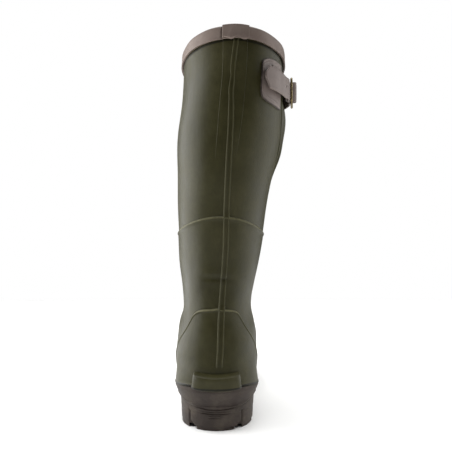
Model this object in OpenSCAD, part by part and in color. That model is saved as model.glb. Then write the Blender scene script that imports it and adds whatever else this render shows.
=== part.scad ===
// Insulated rubber hunting boot, right foot, built up from its separate pieces.
// Frame: origin on the ground under the heel's centre, +Y towards the toe, +X to the outer side, +Z up.
// Every layer of the upper lies on one surface, skin_point(s, t, off): s runs down the leg and out to the
// toe, t runs round a section (0 is the back or the sole side, 90 the outer side), and off is how far
// outwards the point lies.

/* [Leg] */
// Height of the boot at the back
boot_h = 400; // [360:5:440]
// Width of the leg at the collar
collar_w = 111; // [100:1:124]
// Depth of the leg at the collar, back to front
collar_d = 146; // [130:1:162]
// Width of the leg at the calf
calf_w = 115; // [104:1:126]
// Width at the ankle
ankle_w = 75; // [68:1:84]
// Sideways lean of the collar towards the outer side
leg_lean = 18.5; // [0:0.5:24]

/* [Foot] */
// Length of the outsole, heel to toe
sole_l = 304; // [270:2:330]
// Width of the upper at the heel
heel_w = 92; // [84:1:98]
// Width of the outsole under the heel
sole_heel_w = 80; // [74:1:86]
// Width of the outsole at the waist
waist_w = 78; // [72:1:84]
// Width of the outsole at the ball
ball_w = 107; // [98:1:114]
// Height of the instep above the ground
instep_h = 110; // [100:1:122]
// Height of the toe box above the ground
toe_h = 80; // [72:1:88]

/* [Sole] */
// Height of the foot's seat at the heel
heel_seat_h = 28; // [24:1:32]
// Height of the foot's seat at the ball
ball_seat_h = 13.5; // [12:0.5:16]
// Thickness of the outsole plate at the heel
heel_plate_t = 11; // [9:0.5:13]
// Rise of the tread at the toe
toe_spring = 9; // [4:1:12]
// Depth of the tread
tread_h = 6; // [4:0.5:7]
// Height of the brown band round the heel
band_heel_h = 40; // [36:1:44]
// Height of the brown band round the toe
band_toe_h = 31; // [28:1:36]
// Width of the steel shank
shank_w = 18; // [12:1:24]
// Thickness of the steel shank
shank_t = 1.6; // [1.2:0.2:2.2]

/* [Layers] */
// Thickness of the rubber shell
rubber_t = 2.2; // [1.6:0.1:3]
// Thickness of the insulating lining
lining_t = 4.5; // [3:0.5:6]
// Thickness of the reinforcing overlays
overlay_t = 1.1; // [0.8:0.1:1.6]
// Thickness of the lasting board
board_t = 2; // [1.5:0.5:3]
// Thickness of the removable footbed
footbed_t = 5; // [4:0.5:7]

/* [Collar] */
// Height of the collar binding
binding_h = 13; // [10:0.5:16]
// Thickness of the collar binding
binding_t = 1.3; // [1:0.1:2]
// Length of the gusset slit below the binding
slit_l = 136; // [110:2:160]
// Angle of the slit's rear edge at the top
slit_rear = 62; // [58:1:66]
// Angle of the slit's front edge at the top
slit_front = 110; // [104:1:114]

/* [Strap] */
// Height of the strap's middle
strap_z = 359; // [350:1:364]
// Width of the strap
strap_w = 22; // [20:1:26]
// Thickness of the strap
strap_t = 2.2; // [1.8:0.2:2.8]
// Thickness of the strap's anchor patches
patch_t = 1.8; // [1.2:0.1:2.4]
// Distance from the buckle's bar to each of its rails
rail_u = 10.6; // [10:0.2:12.6]
// Thickness of the buckle's frame
frame_t = 2.4; // [2:0.1:3]
// Diameter of the buckle's bar
bar_d = 2.2; // [1.8:0.1:2.4]

/* [Hidden] */

$fn = 48;
olive = "#4b4936";
brown = "#5a504b";
brass = "#8a6d3b";
wool = "#3a3b38";
glue = 0.3;              // gap between layers with different facets
skin_gap = 0.6;          // gap under an overlay on the foot, where the surface curves both ways
lining_gap = 0.8;        // gap between the shell and the lining
seat_gap = 0.9;          // the upper's underside above the seat
fit = 0.08;              // radial clearance of a turning fit
ring_n = 40;             // points round a section of the shell
lining_n = 28;           // points round a section of the lining
leg_back = -66;          // back of the collar behind the heel's centre
calf_front = 73;         // front of the leg below the calf
ankle_back = -41.5;      // back of the ankle
heel_back = -48;         // back of the heel
sole_back = -45;         // back of the outsole
fan_z = 180;             // lowest level section of the leg
breast_y = 44;           // front face of the heel
leg_step = (boot_h - fan_z) / 5;
// A height on the leg of a boot 400 high, moved with the leg's length.
function up(z) = fan_z + (z - fan_z) * leg_step / 44;
collar_front = leg_back + collar_d;
sole_tip = sole_back + sole_l;
heel_r = sole_heel_w / 2;
heel_y = sole_back + heel_r;
toe_y = sole_tip - 62;   // where the toe's rounding starts in the outline
edge_z = 2.5;            // the shell ends this far below the collar's top, inside the binding

function mix(a, b, f) = a + (b - a) * f;
function clamp01(f) = max(0, min(1, f));
function smooth(f) = let (g = clamp01(f)) g * g * (3 - 2 * g);
function signed_pow(v, p) = sign(v) * pow(abs(v), p);
function unit(v) = v / max(norm(v), 1e-9);
function flat(rows) = [for (r = rows) each r];

// Catmull-Rom interpolation of a list of vectors at s, from 0 to its last index.
function spline(list, s) =
    let (last = len(list) - 1, i = max(0, min(last - 1, floor(s))), u = s - i,
         p0 = i > 0 ? list[i - 1] : 2 * list[0] - list[1], p1 = list[i], p2 = list[i + 1],
         p3 = i + 2 <= last ? list[i + 2] : 2 * list[last] - list[last - 1])
    0.5 * (2 * p1 + (p2 - p0) * u + (2 * p0 - 5 * p1 + 4 * p2 - p3) * u * u
           + (3 * p1 - p0 - 3 * p2 + p3) * u * u * u);

// ---- outline of the outsole: rows of [y, inner x, outer x], heel to toe ----
ball_in = ball_w * 0.508;
ball_out = ball_w * 0.492;
waist_in = waist_w / 2 + 0.5;
waist_out = waist_w / 2 - 0.5;
function along(f) = mix(heel_y, toe_y, f);
plan_rows = concat(
    [for (a = [0 : 15 : 90]) [heel_y - heel_r * cos(a), -heel_r * sin(a), heel_r * sin(a)]],
    [for (r = [[0.17, 0, 0], [0.33, 0, 0.08], [0.50, 0.45, 0.42], [0.66, 0.83, 0.82], [0.80, 1, 1],
               [0.92, 0.98, 0.9]])
        [along(r[0]), -mix(waist_in, ball_in, r[1]), mix(waist_out, ball_out, r[2])]],
    [for (a = [12 : 13 : 90])
        let (w = pow(cos(a), 0.72), c = mix(-2, -9, sin(a)))
        [toe_y + (sole_tip - toe_y) * sin(a), c - (ball_in - 3.5) * w, c + (ball_out - 4) * w]]);
plan_n = len(plan_rows) - 1;
// Row number at a given y, by halving the range.
function row_at(y, lo = 0, hi = plan_n, n = 14) =
    n == 0 ? (lo + hi) / 2
    : let (m = (lo + hi) / 2) spline(plan_rows, m)[0] < y ? row_at(y, m, hi, n - 1) : row_at(y, lo, m, n - 1);
function plan_mid(y) = let (r = spline(plan_rows, row_at(y))) (r[1] + r[2]) / 2;
function plan_half(y) = let (r = spline(plan_rows, row_at(y))) (r[2] - r[1]) / 2;

// The outline as a closed ring of points, from the back along the outer side to the tip and home again.
side_n = 30;
function plan_point(i) =
    let (j = (i + 2 * side_n) % (2 * side_n), k = j <= side_n ? j : 2 * side_n - j,
         r = spline(plan_rows, k * plan_n / side_n))
    [j <= side_n ? r[2] : r[1], r[0]];
function plan_offset(i, off) =
    let (d = unit(plan_point(i + 1) - plan_point(i - 1))) plan_point(i) + off * [d[1], -d[0]];
function plan_line(off) = [for (i = [0 : 2 * side_n - 1]) plan_offset(i, off)];

// ---- heights along the foot ----
function spring_z(y) = toe_spring * pow(clamp01((y - toe_y + 15) / (sole_tip - toe_y + 15)), 2);
function seat_z(y) = mix(heel_seat_h, ball_seat_h, smooth((y - 5) / 115)) + spring_z(y) * 1.2;
function plate_z(y) = mix(heel_seat_h - heel_plate_t, tread_h, smooth((y - breast_y - 8) / 54)) + spring_z(y);
function band_z(y) = mix(band_heel_h, band_toe_h, smooth(y / 120)) + spring_z(y);

// ---- sections of the upper: [front y, front z, back y, back z, half width, x, egg, back squareness] ----
toe_base_y = sole_tip - 60;
foot_y0 = 111;           // from here on the foot's sections move with the sole's length
under_y0 = 20;           // the same for their undersides
front_share = (toe_base_y - foot_y0) / 88;
under_share = (toe_base_y - 6 - under_y0) / 173;
function leg_station(i) =
    let (width = [0, 0.90, 1, 0.78, 0.58, 0.38][i], back = [1, 1.02, 0.96, 0.74, 0.42, 0.14][i],
         front = [0, 0.14, 0.43, 0.71, 1, 1][i], lean = [1, 0.94, 0.73, 0.47, 0.27, 0.16][i],
         half = i == 0 ? collar_w / 2 : mix(ankle_w, calf_w, width) / 2)
    [mix(collar_front, calf_front, front), boot_h - i * leg_step, mix(ankle_back, leg_back, back),
     boot_h - i * leg_step, half, leg_lean * lean, 0, 2];
function foot_station(front_y, rise, back_y, square) =
    let (y = mix(back_y, front_y, 0.3))
    [front_y, mix(toe_h, instep_h, rise), back_y, seat_z(back_y) + seat_gap, plan_half(y) - 3.2, plan_mid(y),
     0.02, square];
stations = concat(
    [for (i = [0 : 5]) leg_station(i)],
    [[76, instep_h + 42, ankle_back, 144, ankle_w / 2 + 2.5, 1, 0.03, 2],
     [83, instep_h + 26, ankle_back - 0.5, 114, ankle_w / 2 - 0.3, 0.2, 0.07, 2],
     [91, instep_h + 16, heel_back + 2.5, 86, mix(ankle_w, heel_w, 0.5) / 2, -0.3, 0.10, 2],
     [97, instep_h + 9, heel_back, 62, heel_w / 2 - 2, -0.5, 0.10, 2],
     [102, instep_h + 4.5, heel_back + 1.5, 45, heel_w / 2 - 2, -0.5, 0.10, 2.2],
     [106, instep_h + 1.5, heel_back + 9, heel_seat_h + 4.5, heel_w / 2 - 3.5, -0.5, 0.08, 2.5],
     [111, instep_h - 1.5, heel_back + 30, heel_seat_h + 0.8, heel_w / 2 - 5.5, -0.5, 0.05, 2.8]],
    [for (r = [[7, 0.86, 0], [18, 0.74, 40], [34, 0.57, 80], [54, 0.36, 118], [74, 0.15, 150], [88, 0, 173]])
        foot_station(foot_y0 + r[0] * front_share, r[1], under_y0 + r[2] * under_share, 2.9)]);
base = stations[len(stations) - 1];
nose_y = (base[0] + base[2]) / 2;
nose_l = sole_tip - 4.5 - nose_y;
// The toe is a blunt ellipsoid: its sections move on by sin(a) and shrink by a power of cos(a).
function nose_station(a) =
    let (y = nose_y + nose_l * sin(a), h = (base[1] - base[3]) / 2 * pow(cos(a), 0.78),
         z = (base[1] + base[3]) / 2 - 2 * sin(a), tilt = 3 * cos(a))
    [y + tilt, z + h, y - tilt, z - h, base[4] * pow(cos(a), 0.72), base[5] - 5.5 * sin(a),
     base[6] * cos(a), mix(2.9, 2.3, sin(a))];
all_stations = concat(stations, [for (a = [18, 34, 48, 60, 70, 78, 84]) nose_station(a)]);
s_last = len(all_stations) - 1;

function section_point(s, t) =
    let (q = spline(all_stations, s), dy = q[2] - q[0], dz = q[3] - q[1], c = cos(t), n = c > 0 ? q[7] : 2,
         r = signed_pow(c, 2 / n) / 2, x = q[4] * signed_pow(sin(t), 2 / n) * (1 + q[6] * c))
    [q[5] + x, (q[0] + q[2]) / 2 + dy * r, (q[1] + q[3]) / 2 + dz * r];
function skin_normal(s, t) =
    let (h = 0.02, a = min(s_last - h, max(h, s)))
    unit(cross(section_point(s, t + 1) - section_point(s, t - 1),
               section_point(a + h, t) - section_point(a - h, t)));
function skin_point(s, t, off) = section_point(s, t) - off * skin_normal(s, t);
function leg_s(z) = (boot_h - z) / leg_step;

// ---- solids between two grids of points ----
function quad(a, b, c, d) = [[a, c, b], [a, d, c]];

// A patch between an outer and an inner grid of the same size, closed round its four sides.
module patch(outer, inner) {
    nr = len(outer);
    nc = len(outer[0]);
    k = nr * nc;
    e = (nr - 1) * nc;
    polyhedron(concat(flat(outer), flat(inner)), concat(
        [for (j = [0 : nr - 2], i = [0 : nc - 2]) let (a = j * nc + i) each concat(
            quad(a, a + nc, a + nc + 1, a + 1),
            quad(k + a, k + a + 1, k + a + nc + 1, k + a + nc))],
        [for (i = [0 : nc - 2]) each concat(
            quad(i, i + 1, k + i + 1, k + i),
            quad(e + i, k + e + i, k + e + i + 1, e + i + 1))],
        [for (j = [0 : nr - 2]) let (a = j * nc, b = a + nc - 1) each concat(
            quad(a, k + a, k + a + nc, a + nc),
            quad(b, b + nc, k + b + nc, k + b))]), convexity = 8);
}

// A tube between an outer and an inner grid whose rows are rings that end where they start. Above row seam
// the ring is open and leaves a slit with its own two edges; tip closes the last ring of each grid.
module tube(outer, inner, seam = 0, tip = false) {
    nr = len(outer);
    nc = len(outer[0]) - 1;
    w = nc + 1;
    k = nr * w;
    function id(j, i, first) = first + j * w + (i == nc && j >= seam ? 0 : i);
    polyhedron(concat(flat(outer), flat(inner)), concat(
        [for (j = [0 : nr - 2], i = [0 : nc - 1]) each concat(
            quad(id(j, i, 0), id(j + 1, i, 0), id(j + 1, i + 1, 0), id(j, i + 1, 0)),
            quad(id(j, i, k), id(j, i + 1, k), id(j + 1, i + 1, k), id(j + 1, i, k)))],
        [for (i = [0 : nc - 1]) each quad(id(0, i, 0), id(0, i + 1, 0), id(0, i + 1, k), id(0, i, k))],
        tip ? [[for (i = [0 : nc - 1]) id(nr - 1, i, 0)], [for (i = [1 : nc]) id(nr - 1, nc - i, k)]]
            : [for (i = [0 : nc - 1])
                each quad(id(nr - 1, i, 0), id(nr - 1, i, k), id(nr - 1, i + 1, k), id(nr - 1, i + 1, 0))],
        [for (j = [0 : 1 : seam - 1]) each concat(
            quad(id(j, 0, 0), id(j, 0, k), id(j + 1, 0, k), id(j + 1, 0, 0)),
            quad(id(j, nc, 0), id(j + 1, nc, 0), id(j + 1, nc, k), id(j, nc, k)))]), convexity = 10);
}

// A closed profile carried round a closed ring: one row for each point of the profile.
module hoop(rows) {
    nr = len(rows);
    nc = len(rows[0]);
    polyhedron(flat(rows), [for (j = [0 : nr - 1], i = [0 : nc - 1])
        let (a = j * nc, b = ((j + 1) % nr) * nc, i2 = (i + 1) % nc) each quad(a + i, a + i2, b + i2, b + i)],
        convexity = 10);
}

// A slab in the outsole's outline: rings of 2 * side_n points, lowest first, with faces bridged side to side.
module slab(rings) {
    n = 2 * side_n;
    top = (len(rings) - 1) * n;
    cap = concat([[0, 1, n - 1], [side_n - 1, side_n, side_n + 1]],
                 [for (j = [1 : side_n - 2]) each quad(n - j, n - j - 1, j + 1, j)]);
    polyhedron(flat(rings), concat(
        [for (f = cap) f], [for (f = cap) [top + f[2], top + f[1], top + f[0]]],
        [for (j = [0 : len(rings) - 2], i = [0 : n - 1]) let (a = j * n, i2 = (i + 1) % n)
            each quad(a + i, a + i2, a + n + i2, a + n + i)]), convexity = 8);
}
function slab_ring(off, z_at) = [for (p = plan_line(off)) [p[0], p[1], z_at(p[1])]];

// Rows of points on the upper between two curves in (s, t), each given at v from 0 to 1.
function between(from, to, nv, nw, off) =
    [for (w = [0 : nw]) [for (v = [0 : nv]) let (p = mix(from(v / nv), to(v / nv), w / nw))
        skin_point(p[0], p[1], off(p[0], p[1]))]];
module overlay(from, to, nv, nw, low, high) {
    patch(between(from, to, nv, nw, high), between(from, to, nv, nw, low));
}

// ---- leg ----
slit_bottom = boot_h - binding_h - slit_l;
slit_end = 85;           // angle at which the slit ends
lap_back_z = 219;        // height of the foot rubber's lapped edge at the back
lap_side_z = 204;        // height of the same edge at the front
seam_rows = 11;
leg_rows = 14;
function slit_t(edge, z) = mix(slit_end, edge, smooth((z - slit_bottom) / slit_l * 0.85 + 0.06));
function lap_z(t) = mix(lap_side_z, lap_back_z, (1 + cos(t)) / 2);
function leg_grid(off) = [for (j = [0 : leg_rows]) [for (i = [0 : ring_n])
    let (open = j < seam_rows, zs = mix(boot_h - edge_z, slit_bottom, min(1, j / seam_rows)),
         t0 = open ? slit_t(slit_front, zs) - 360 : slit_end - 360,
         t1 = open ? slit_t(slit_rear, zs) : slit_end, t = mix(t0, t1, i / ring_n),
         z = j <= seam_rows ? zs : mix(zs, lap_z(t) + glue, (j - seam_rows) / (leg_rows - seam_rows)))
    skin_point(leg_s(z), t, off)]];
module leg_shell() color(olive) tube(leg_grid(0), leg_grid(-rubber_t), seam = seam_rows);

// ---- foot ----
lap_out = 0.5;           // the foot's rubber stands this proud of the leg's
foot_s = concat([4.9, 5.7, 6.2, 6.6, 7, 7.4, 7.8, 8.2, 8.7, 9.2, 9.7, 10.2, 10.8, 11.4, 12, 12.7, 13.5, 14.5,
                 15.7, 16.9, 18],
                [for (s = [19 : s_last]) s]);
function foot_grid(off) = concat(
    [[for (i = [0 : ring_n]) let (t = i * 360 / ring_n) skin_point(leg_s(lap_z(t)), t, off)]],
    [for (s = foot_s) [for (i = [0 : ring_n]) skin_point(s, i * 360 / ring_n, off)]]);
module foot_shell() color(olive) tube(foot_grid(lap_out), foot_grid(-rubber_t), tip = true);

// The whole foot from the heel to the toe as one closed solid at off, for what is fitted round or inside it.
module foot_form(off, first = 7, tip = s_last) {
    rings = [for (s = concat([first], [for (v = foot_s) if (v > first + 0.3 && v < tip - 0.3) v], [tip]))
        [for (i = [0 : ring_n - 1]) skin_point(s, i * 360 / ring_n, off)]];
    n = ring_n;
    last = len(rings) - 1;
    polyhedron(flat(rings), concat(
        [[for (i = [1 : n]) n - i], [for (i = [0 : n - 1]) last * n + i]],
        [for (j = [0 : last - 1], i = [0 : n - 1]) let (a = j * n, i2 = (i + 1) % n)
            each quad(a + i, a + n + i, a + n + i2, a + i2)]), convexity = 8);
}

// ---- lining ----
lining_out = rubber_t + lining_gap;
lining_in = lining_out + lining_t;
lining_split = 5.4;
lining_tip = 21.8;       // section at which the lining closes over the toes
function lining_grid(rows, off) =
    [for (s = rows) [for (i = [0 : lining_n]) skin_point(s, i * 360 / lining_n, off)]];
module lining(rows, tip) color(wool)
    tube(lining_grid(rows, -lining_out), lining_grid(rows, -lining_in), tip = tip);
module leg_lining()
    lining([for (j = [0 : 9]) mix(leg_s(boot_h - edge_z), lining_split - 0.02, j / 9)], false);
module foot_lining()
    lining(concat([lining_split], [for (s = foot_s) if (s > lining_split && s < lining_tip - 0.3) s],
                  [lining_tip]), true);

// ---- inside the foot ----
inner_z = seat_gap + lining_in + 2 * glue;    // height of the lining's floor above the seat
module lasting_board() color("#8f7a58") intersection() {
    slab([slab_ring(-10, function (y) seat_z(y) + inner_z),
          slab_ring(-10, function (y) seat_z(y) + inner_z + board_t)]);
    foot_form(-lining_in - 0.5, 9, lining_tip);
}
module footbed() color("#2c2c2a") intersection() {
    slab([slab_ring(-11, function (y) seat_z(y) + inner_z + board_t + glue),
          slab_ring(-10, function (y) seat_z(y) + inner_z + board_t + glue + footbed_t)]);
    foot_form(-lining_in - 1.2, 9, lining_tip);
}

// ---- sole ----
function strip_grid(half, y0, y1, dz) =
    [for (j = [0 : 9]) let (y = mix(y0, y1, j / 9)) [for (x = [half, -half]) [x, y, seat_z(y) + dz]]];
shank_y0 = 34;
shank_y1 = 118;
shank_down = 0.8;        // the shank's top below the seat
module shank() color("silver")
    patch(strip_grid(shank_w / 2, shank_y0, shank_y1, -shank_down),
          strip_grid(shank_w / 2, shank_y0, shank_y1, -shank_down - shank_t));
filler_d = 46;
filler_t = heel_plate_t - 3;
module heel_filler() color("#b08a55")
    translate([0, 0, heel_seat_h - heel_plate_t]) cylinder(d = filler_d, h = filler_t);
module outsole() color(brown) difference() {
    slab([slab_ring(-1.2, function (y) plate_z(y)), slab_ring(0, function (y) plate_z(y) + 1.5),
          slab_ring(0.3, function (y) mix(plate_z(y), seat_z(y), 0.7)),
          slab_ring(0.6, function (y) seat_z(y))]);
    patch(strip_grid(shank_w / 2 + glue, shank_y0 - glue, shank_y1 + glue, 3),
          strip_grid(shank_w / 2 + glue, shank_y0 - glue, shank_y1 + glue, -shank_down - shank_t - 0.15));
    translate([0, 0, heel_seat_h - heel_plate_t - 1])
        cylinder(d = filler_d + 2 * fit, h = filler_t + 1 + glue);
    foot_form(lap_out + glue, 9);
}
// The band flares with the heel and leans in with the upper round the forefoot.
function band_lean(y) = mix(heel_w / 2 - heel_r - 1.2, -2.6, smooth((y + 15) / 90));
function band_ring(f) = [for (i = [0 : 2 * side_n - 1])
    let (q = plan_point(i), p = plan_offset(i, 0.6 + band_lean(q[1]) * f))
    [p[0], p[1], mix(seat_z(p[1]) + 0.1, band_z(p[1]), f)]];
module foxing_band() color(brown) difference() {
    slab([band_ring(0), band_ring(0.5), band_ring(1)]);
    slab([slab_ring(-16, function (y) 0), slab_ring(-16, function (y) 100)]);
    foot_form(lap_out + glue, 8);
}

// ---- heel and tread ----
module heel_outline(inset) intersection() {
    polygon(plan_line(-inset));
    difference() {
        translate([-100, -100]) square([200, 100 + breast_y - inset]);
        translate([0, breast_y - inset + 34]) circle(r = 40, $fn = 96);
    }
}
module heel_lift() color(brown)
    translate([0, 0, tread_h]) linear_extrude(heel_seat_h - heel_plate_t - tread_h) heel_outline(1.2);
pad_w = 30;
pad_l = 32;
groove = 3.2;
back_gap = 8;            // width of the two gaps beside the heel's back lug
back_gap_x = 23.3;
module heel_tread() color(brown) linear_extrude(tread_h) {
    translate([-pad_w / 2, -pad_l / 2 + 1]) square([pad_w, pad_l]);
    difference() {
        heel_outline(2);
        translate([-pad_w / 2 - 7, -pad_l / 2 - 6]) square([pad_w + 14, 120]);
        for (x = [-1, 1]) translate([x * back_gap_x - 1 - back_gap / 2, -60]) square([back_gap, 40]);
        for (y = [-10, 7, 24]) translate([-60, y]) square([120, groove]);
    }
}
// A lug that follows the sole's curve: each corner of its outline has its own heights.
module lug(points) {
    n = len(points);
    polyhedron(
        concat([for (p = points) [p[0], p[1], spring_z(p[1])]],
               [for (p = points) [p[0], p[1], plate_z(p[1]) - 0.15]]),
        concat([for (i = [1 : n - 2]) [0, i, i + 1]],
               [for (i = [1 : n - 2]) [n, n + i + 1, n + i]],
               [for (i = [0 : n - 1]) let (k = (i + 1) % n) each quad(i, k, n + k, n + i)]));
}
lug_pitch = 15;
lug_y0 = 104;
module forefoot_tread() color(brown) for (y = [lug_y0 : lug_pitch : sole_tip - 24]) {
    l = lug_pitch - groove - 1;
    c = plan_mid(y + l / 2);
    h = min(plan_half(y + 1), plan_half(y + l + 3)) - 2.5;
    for (side = [-1, 1]) lug([for (p = side > 0 ? [[1, 0], [1, l], [0.36, l + 4], [0.36, 4]]
                                                : [[0.36, 4], [0.36, l + 4], [1, l], [1, 0]])
        [c + side * h * p[0], y + p[1]]]);
    lug([for (p = [[0.26, 5], [0.26, l + 5], [0, l + 9], [-0.26, l + 5], [-0.26, 5], [0, 9]])
        [c + h * p[0], y + p[1] - 5]]);
}

// ---- collar ----
function binding_row(off, z) = [for (i = [0 : ring_n - 1]) skin_point(leg_s(z), i * 360 / ring_n, off)];
module top_binding() color(brown) hoop([for (p = [
    [skin_gap + binding_t, -binding_h], [skin_gap + binding_t, -1], [skin_gap, 0], [-lining_in - skin_gap, 0],
    [-lining_in - skin_gap - binding_t, -1], [-lining_in - skin_gap - binding_t, -binding_h],
    [-lining_in - skin_gap, -binding_h], [-lining_in - skin_gap, glue - edge_z], [skin_gap, glue - edge_z],
    [skin_gap, -binding_h]]) binding_row(p[0], boot_h + p[1])]);
strip_x0 = -12;          // angles of the back strip's two edges at the top
strip_x1 = 14;
module binding_tab() color(brown) overlay(
    function (v) [leg_s(boot_h - binding_h + 0.2), mix(strip_x0, strip_x1, v)],
    function (v) [leg_s(boot_h - 0.6), mix(strip_x0, strip_x1, v)], 6, 3,
    function (s, t) skin_gap + glue + 2 * binding_t, function (s, t) skin_gap + glue + binding_t);

// ---- gusset ----
gusset_t = 1.4;
gusset_bulge = 2.2;
function gusset_room(z) = smooth((boot_h - binding_h - 6 - z) / 30) * smooth((z - slit_bottom) / 60);
function gusset_row(z, off) = [for (i = [0 : 10])
    let (t = mix(slit_t(slit_rear, z) + 0.5, slit_t(slit_front, z) - 0.5, i / 10))
    skin_point(leg_s(z), t, off + gusset_bulge * sin(i * 18) * gusset_room(z))];
module gusset_panel() {
    zs = [for (j = [0 : 12]) mix(boot_h - edge_z, slit_bottom + 6, j / 12)];
    color(olive) patch([for (z = zs) gusset_row(z, -0.4)], [for (z = zs) gusset_row(z, -0.4 - gusset_t)]);
}

// ---- overlays on the back ----
strip_bottom = up(272);
bead_w = 7;
function bead_x(z) = mix(mix(0, -1, smooth((z - 60) / 60)), 2, smooth((z - 100) / 260));
function bead_base(z) =
    z > strip_bottom - 4 ? skin_gap + 1.0
    : z > 140 ? lap_out + skin_gap
    : lap_out + skin_gap + overlay_t + 0.5;
module back_strip() color(olive) overlay(
    function (v) [leg_s(strip_bottom), mix(-4, 6, v)],
    function (v) [leg_s(boot_h - binding_h - glue), mix(strip_x0, strip_x1, v)], 6, 10,
    function (s, t) glue + 0.9, function (s, t) glue);
bead_s = concat([for (z = [boot_h - binding_h - 1, up(350), up(315), up(285), strip_bottom - 3,
                           strip_bottom - 6, up(245), up(225), up(200)]) leg_s(z)],
                [5.2, 5.8, 6.3, 6.5, 6.6, 7.2, 7.8, 8.4, 8.9]);
module back_bead() {
    function row(s, high) =
        let (z = section_point(s, 0)[2], q = spline(all_stations, s), mid = bead_x(z))
        [for (i = [-2 : 2])
            let (t = mid + i * bead_w / 4 / q[4] * 57.3, f = high ? 0.5 + 1.1 * cos(i * 40) : 0)
            skin_point(s, t, bead_base(z) + f)];
    color(olive) patch([for (s = bead_s) row(s, true)], [for (s = bead_s) row(s, false)]);
}

// ---- overlays on the foot ----
counter_top = [[6.62, 0], [6.8, 30], [7.5, 45], [8.8, 64], [10.4, 71], [11.6, 70], [12.5, 63]];
counter_bottom = [[10, 0], [10.05, 17], [10.3, 30], [10.85, 43], [11.4, 51], [12, 56.5], [12.5, 60]];
function mirrored(list, v) = let (w = abs(2 * v - 1) * 6, p = spline(list, w)) [p[0], v < 0.5 ? -p[1] : p[1]];
overlay_low = function (s, t) lap_out + skin_gap;
overlay_high = function (s, t) lap_out + skin_gap + overlay_t;
module heel_counter() color(olive) overlay(
    function (v) mirrored(counter_bottom, v), function (v) mirrored(counter_top, v), 30, 9,
    overlay_high, overlay_low);
module toe_cap() color(olive) overlay(
    function (v) [s_last - 0.3, mix(74, 286, v)],
    function (v) [18.6 + 0.5 * sin(v * 180), mix(74, 286, v)], 20, 9, overlay_high, overlay_low);
module instep_overlay() color(olive) overlay(
    function (v) [14.2 - 1.2 * pow(2 * v - 1, 2), mix(126, 234, v)],
    function (v) [5.4 + 1.2 * pow(2 * v - 1, 2), mix(146, 214, v)], 12, 12, overlay_high, overlay_low);

// The kick ledge stands out from the heel counter, level underneath and bevelled on top.
ledge_h = [63, 61.5, 55, 44, 42.5];
ledge_out = [1.2, 2.2, 8.5, 9, 8];
ledge_step = 4.4;        // a twelfth of its width, as an angle round the heel
module kick_ledge() {
    function row(j, out) =
        let (s = mix(8.95, 10.02, (63 - ledge_h[j]) / 20.5))
        [for (i = [-6 : 6]) let (t = 1 + i * ledge_step, p = skin_point(s, t, lap_out + skin_gap + overlay_t + 0.5),
            d = out * (1 - 0.25 * pow(abs(i / 6), 3)))
            [p[0] + d * sin(t), p[1] - d * cos(t), out > 0 ? ledge_h[j] : p[2]]];
    color(olive) patch([for (j = [0 : 4]) row(j, ledge_out[j])], [for (j = [0 : 4]) row(j, 0)]);
}

// ---- strap and buckle ----
// The buckle is a frame with a bar across its middle. The chape from the rear patch loops round the bar, and
// the strap from the front patch goes under one rail, over the bar and under the other rail.
strap_s = leg_s(strap_z);
buckle_angle = 80;                       // direction of the buckle, seen from above
buckle_u = [cos(buckle_angle), sin(buckle_angle)];
buckle_v = [sin(buckle_angle), -cos(buckle_angle)];
function at(u, v) = bar_at + u * buckle_u + v * buckle_v;
function on_leg(t, off) = let (p = skin_point(strap_s, t, off)) [p[0], p[1]];
bar_turn = 83.659;       // where the bar stands: its angle round the leg, and how far outside the rubber
bar_out = 10.192;
bar_at = on_leg(bar_turn, bar_out);
chape_t = 1.6;
rock_gap = 0.9;                          // room for the frame to rock on the strap
loop_in = bar_d / 2 + fit;
loop_out = loop_in + chape_t;
hump_v = loop_out + 0.5 + strap_t / 2;                       // the strap's middle over the bar
under_v = -frame_t / 2 - rock_gap - strap_t / 2;             // the strap's middle under the rails
patch_out = glue + patch_t;
chape_mid = patch_out + skin_gap + chape_t / 2;
chape_v = under_v - strap_t / 2 - glue - chape_t / 2;        // the chape's middle under the rear rail
tail_mid = chape_mid + chape_t / 2 + skin_gap + strap_t / 2;

// A strip of even thickness along a line of points.
function line_normal(line, i) =
    let (n = len(line) - 1, d = unit(line[min(n, i + 1)] - line[max(0, i - 1)])) [d[1], -d[0]];
function strip(line, thick) = concat(
    [for (i = [0 : len(line) - 1]) line[i] + line_normal(line, i) * thick / 2],
    [for (k = [1 : len(line)]) let (i = len(line) - k) line[i] - line_normal(line, i) * thick / 2]);
function eased(points, n) = [for (k = [0 : n]) spline(points, k * (len(points) - 1) / n)];

// Edges of the D-shaped patches as [angle, height above the strap's middle].
patch_top = [[29, 7], [31, 12], [37, 15.5], [45, 17], [53, 17.5], [60, 18]];
patch_bottom = [[29, -19], [31, -24], [37, -27], [45, -28], [53, -28.5], [60, -28.5]];
front_turn = 172;        // the front patch mirrors the rear one about half this angle
function patch_edge(list, v, front) =
    let (p = spline(list, (front ? 1 - v : v) * 5)) [leg_s(p[1] + strap_z), front ? front_turn - p[0] : p[0]];
module strap_patch(front) color(brown) overlay(
    function (v) patch_edge(patch_bottom, v, front), function (v) patch_edge(patch_top, v, front), 12, 6,
    function (s, t) patch_out, function (s, t) glue);
module strap_patch_rear() strap_patch(false);
module strap_patch_front() strap_patch(true);

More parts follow.
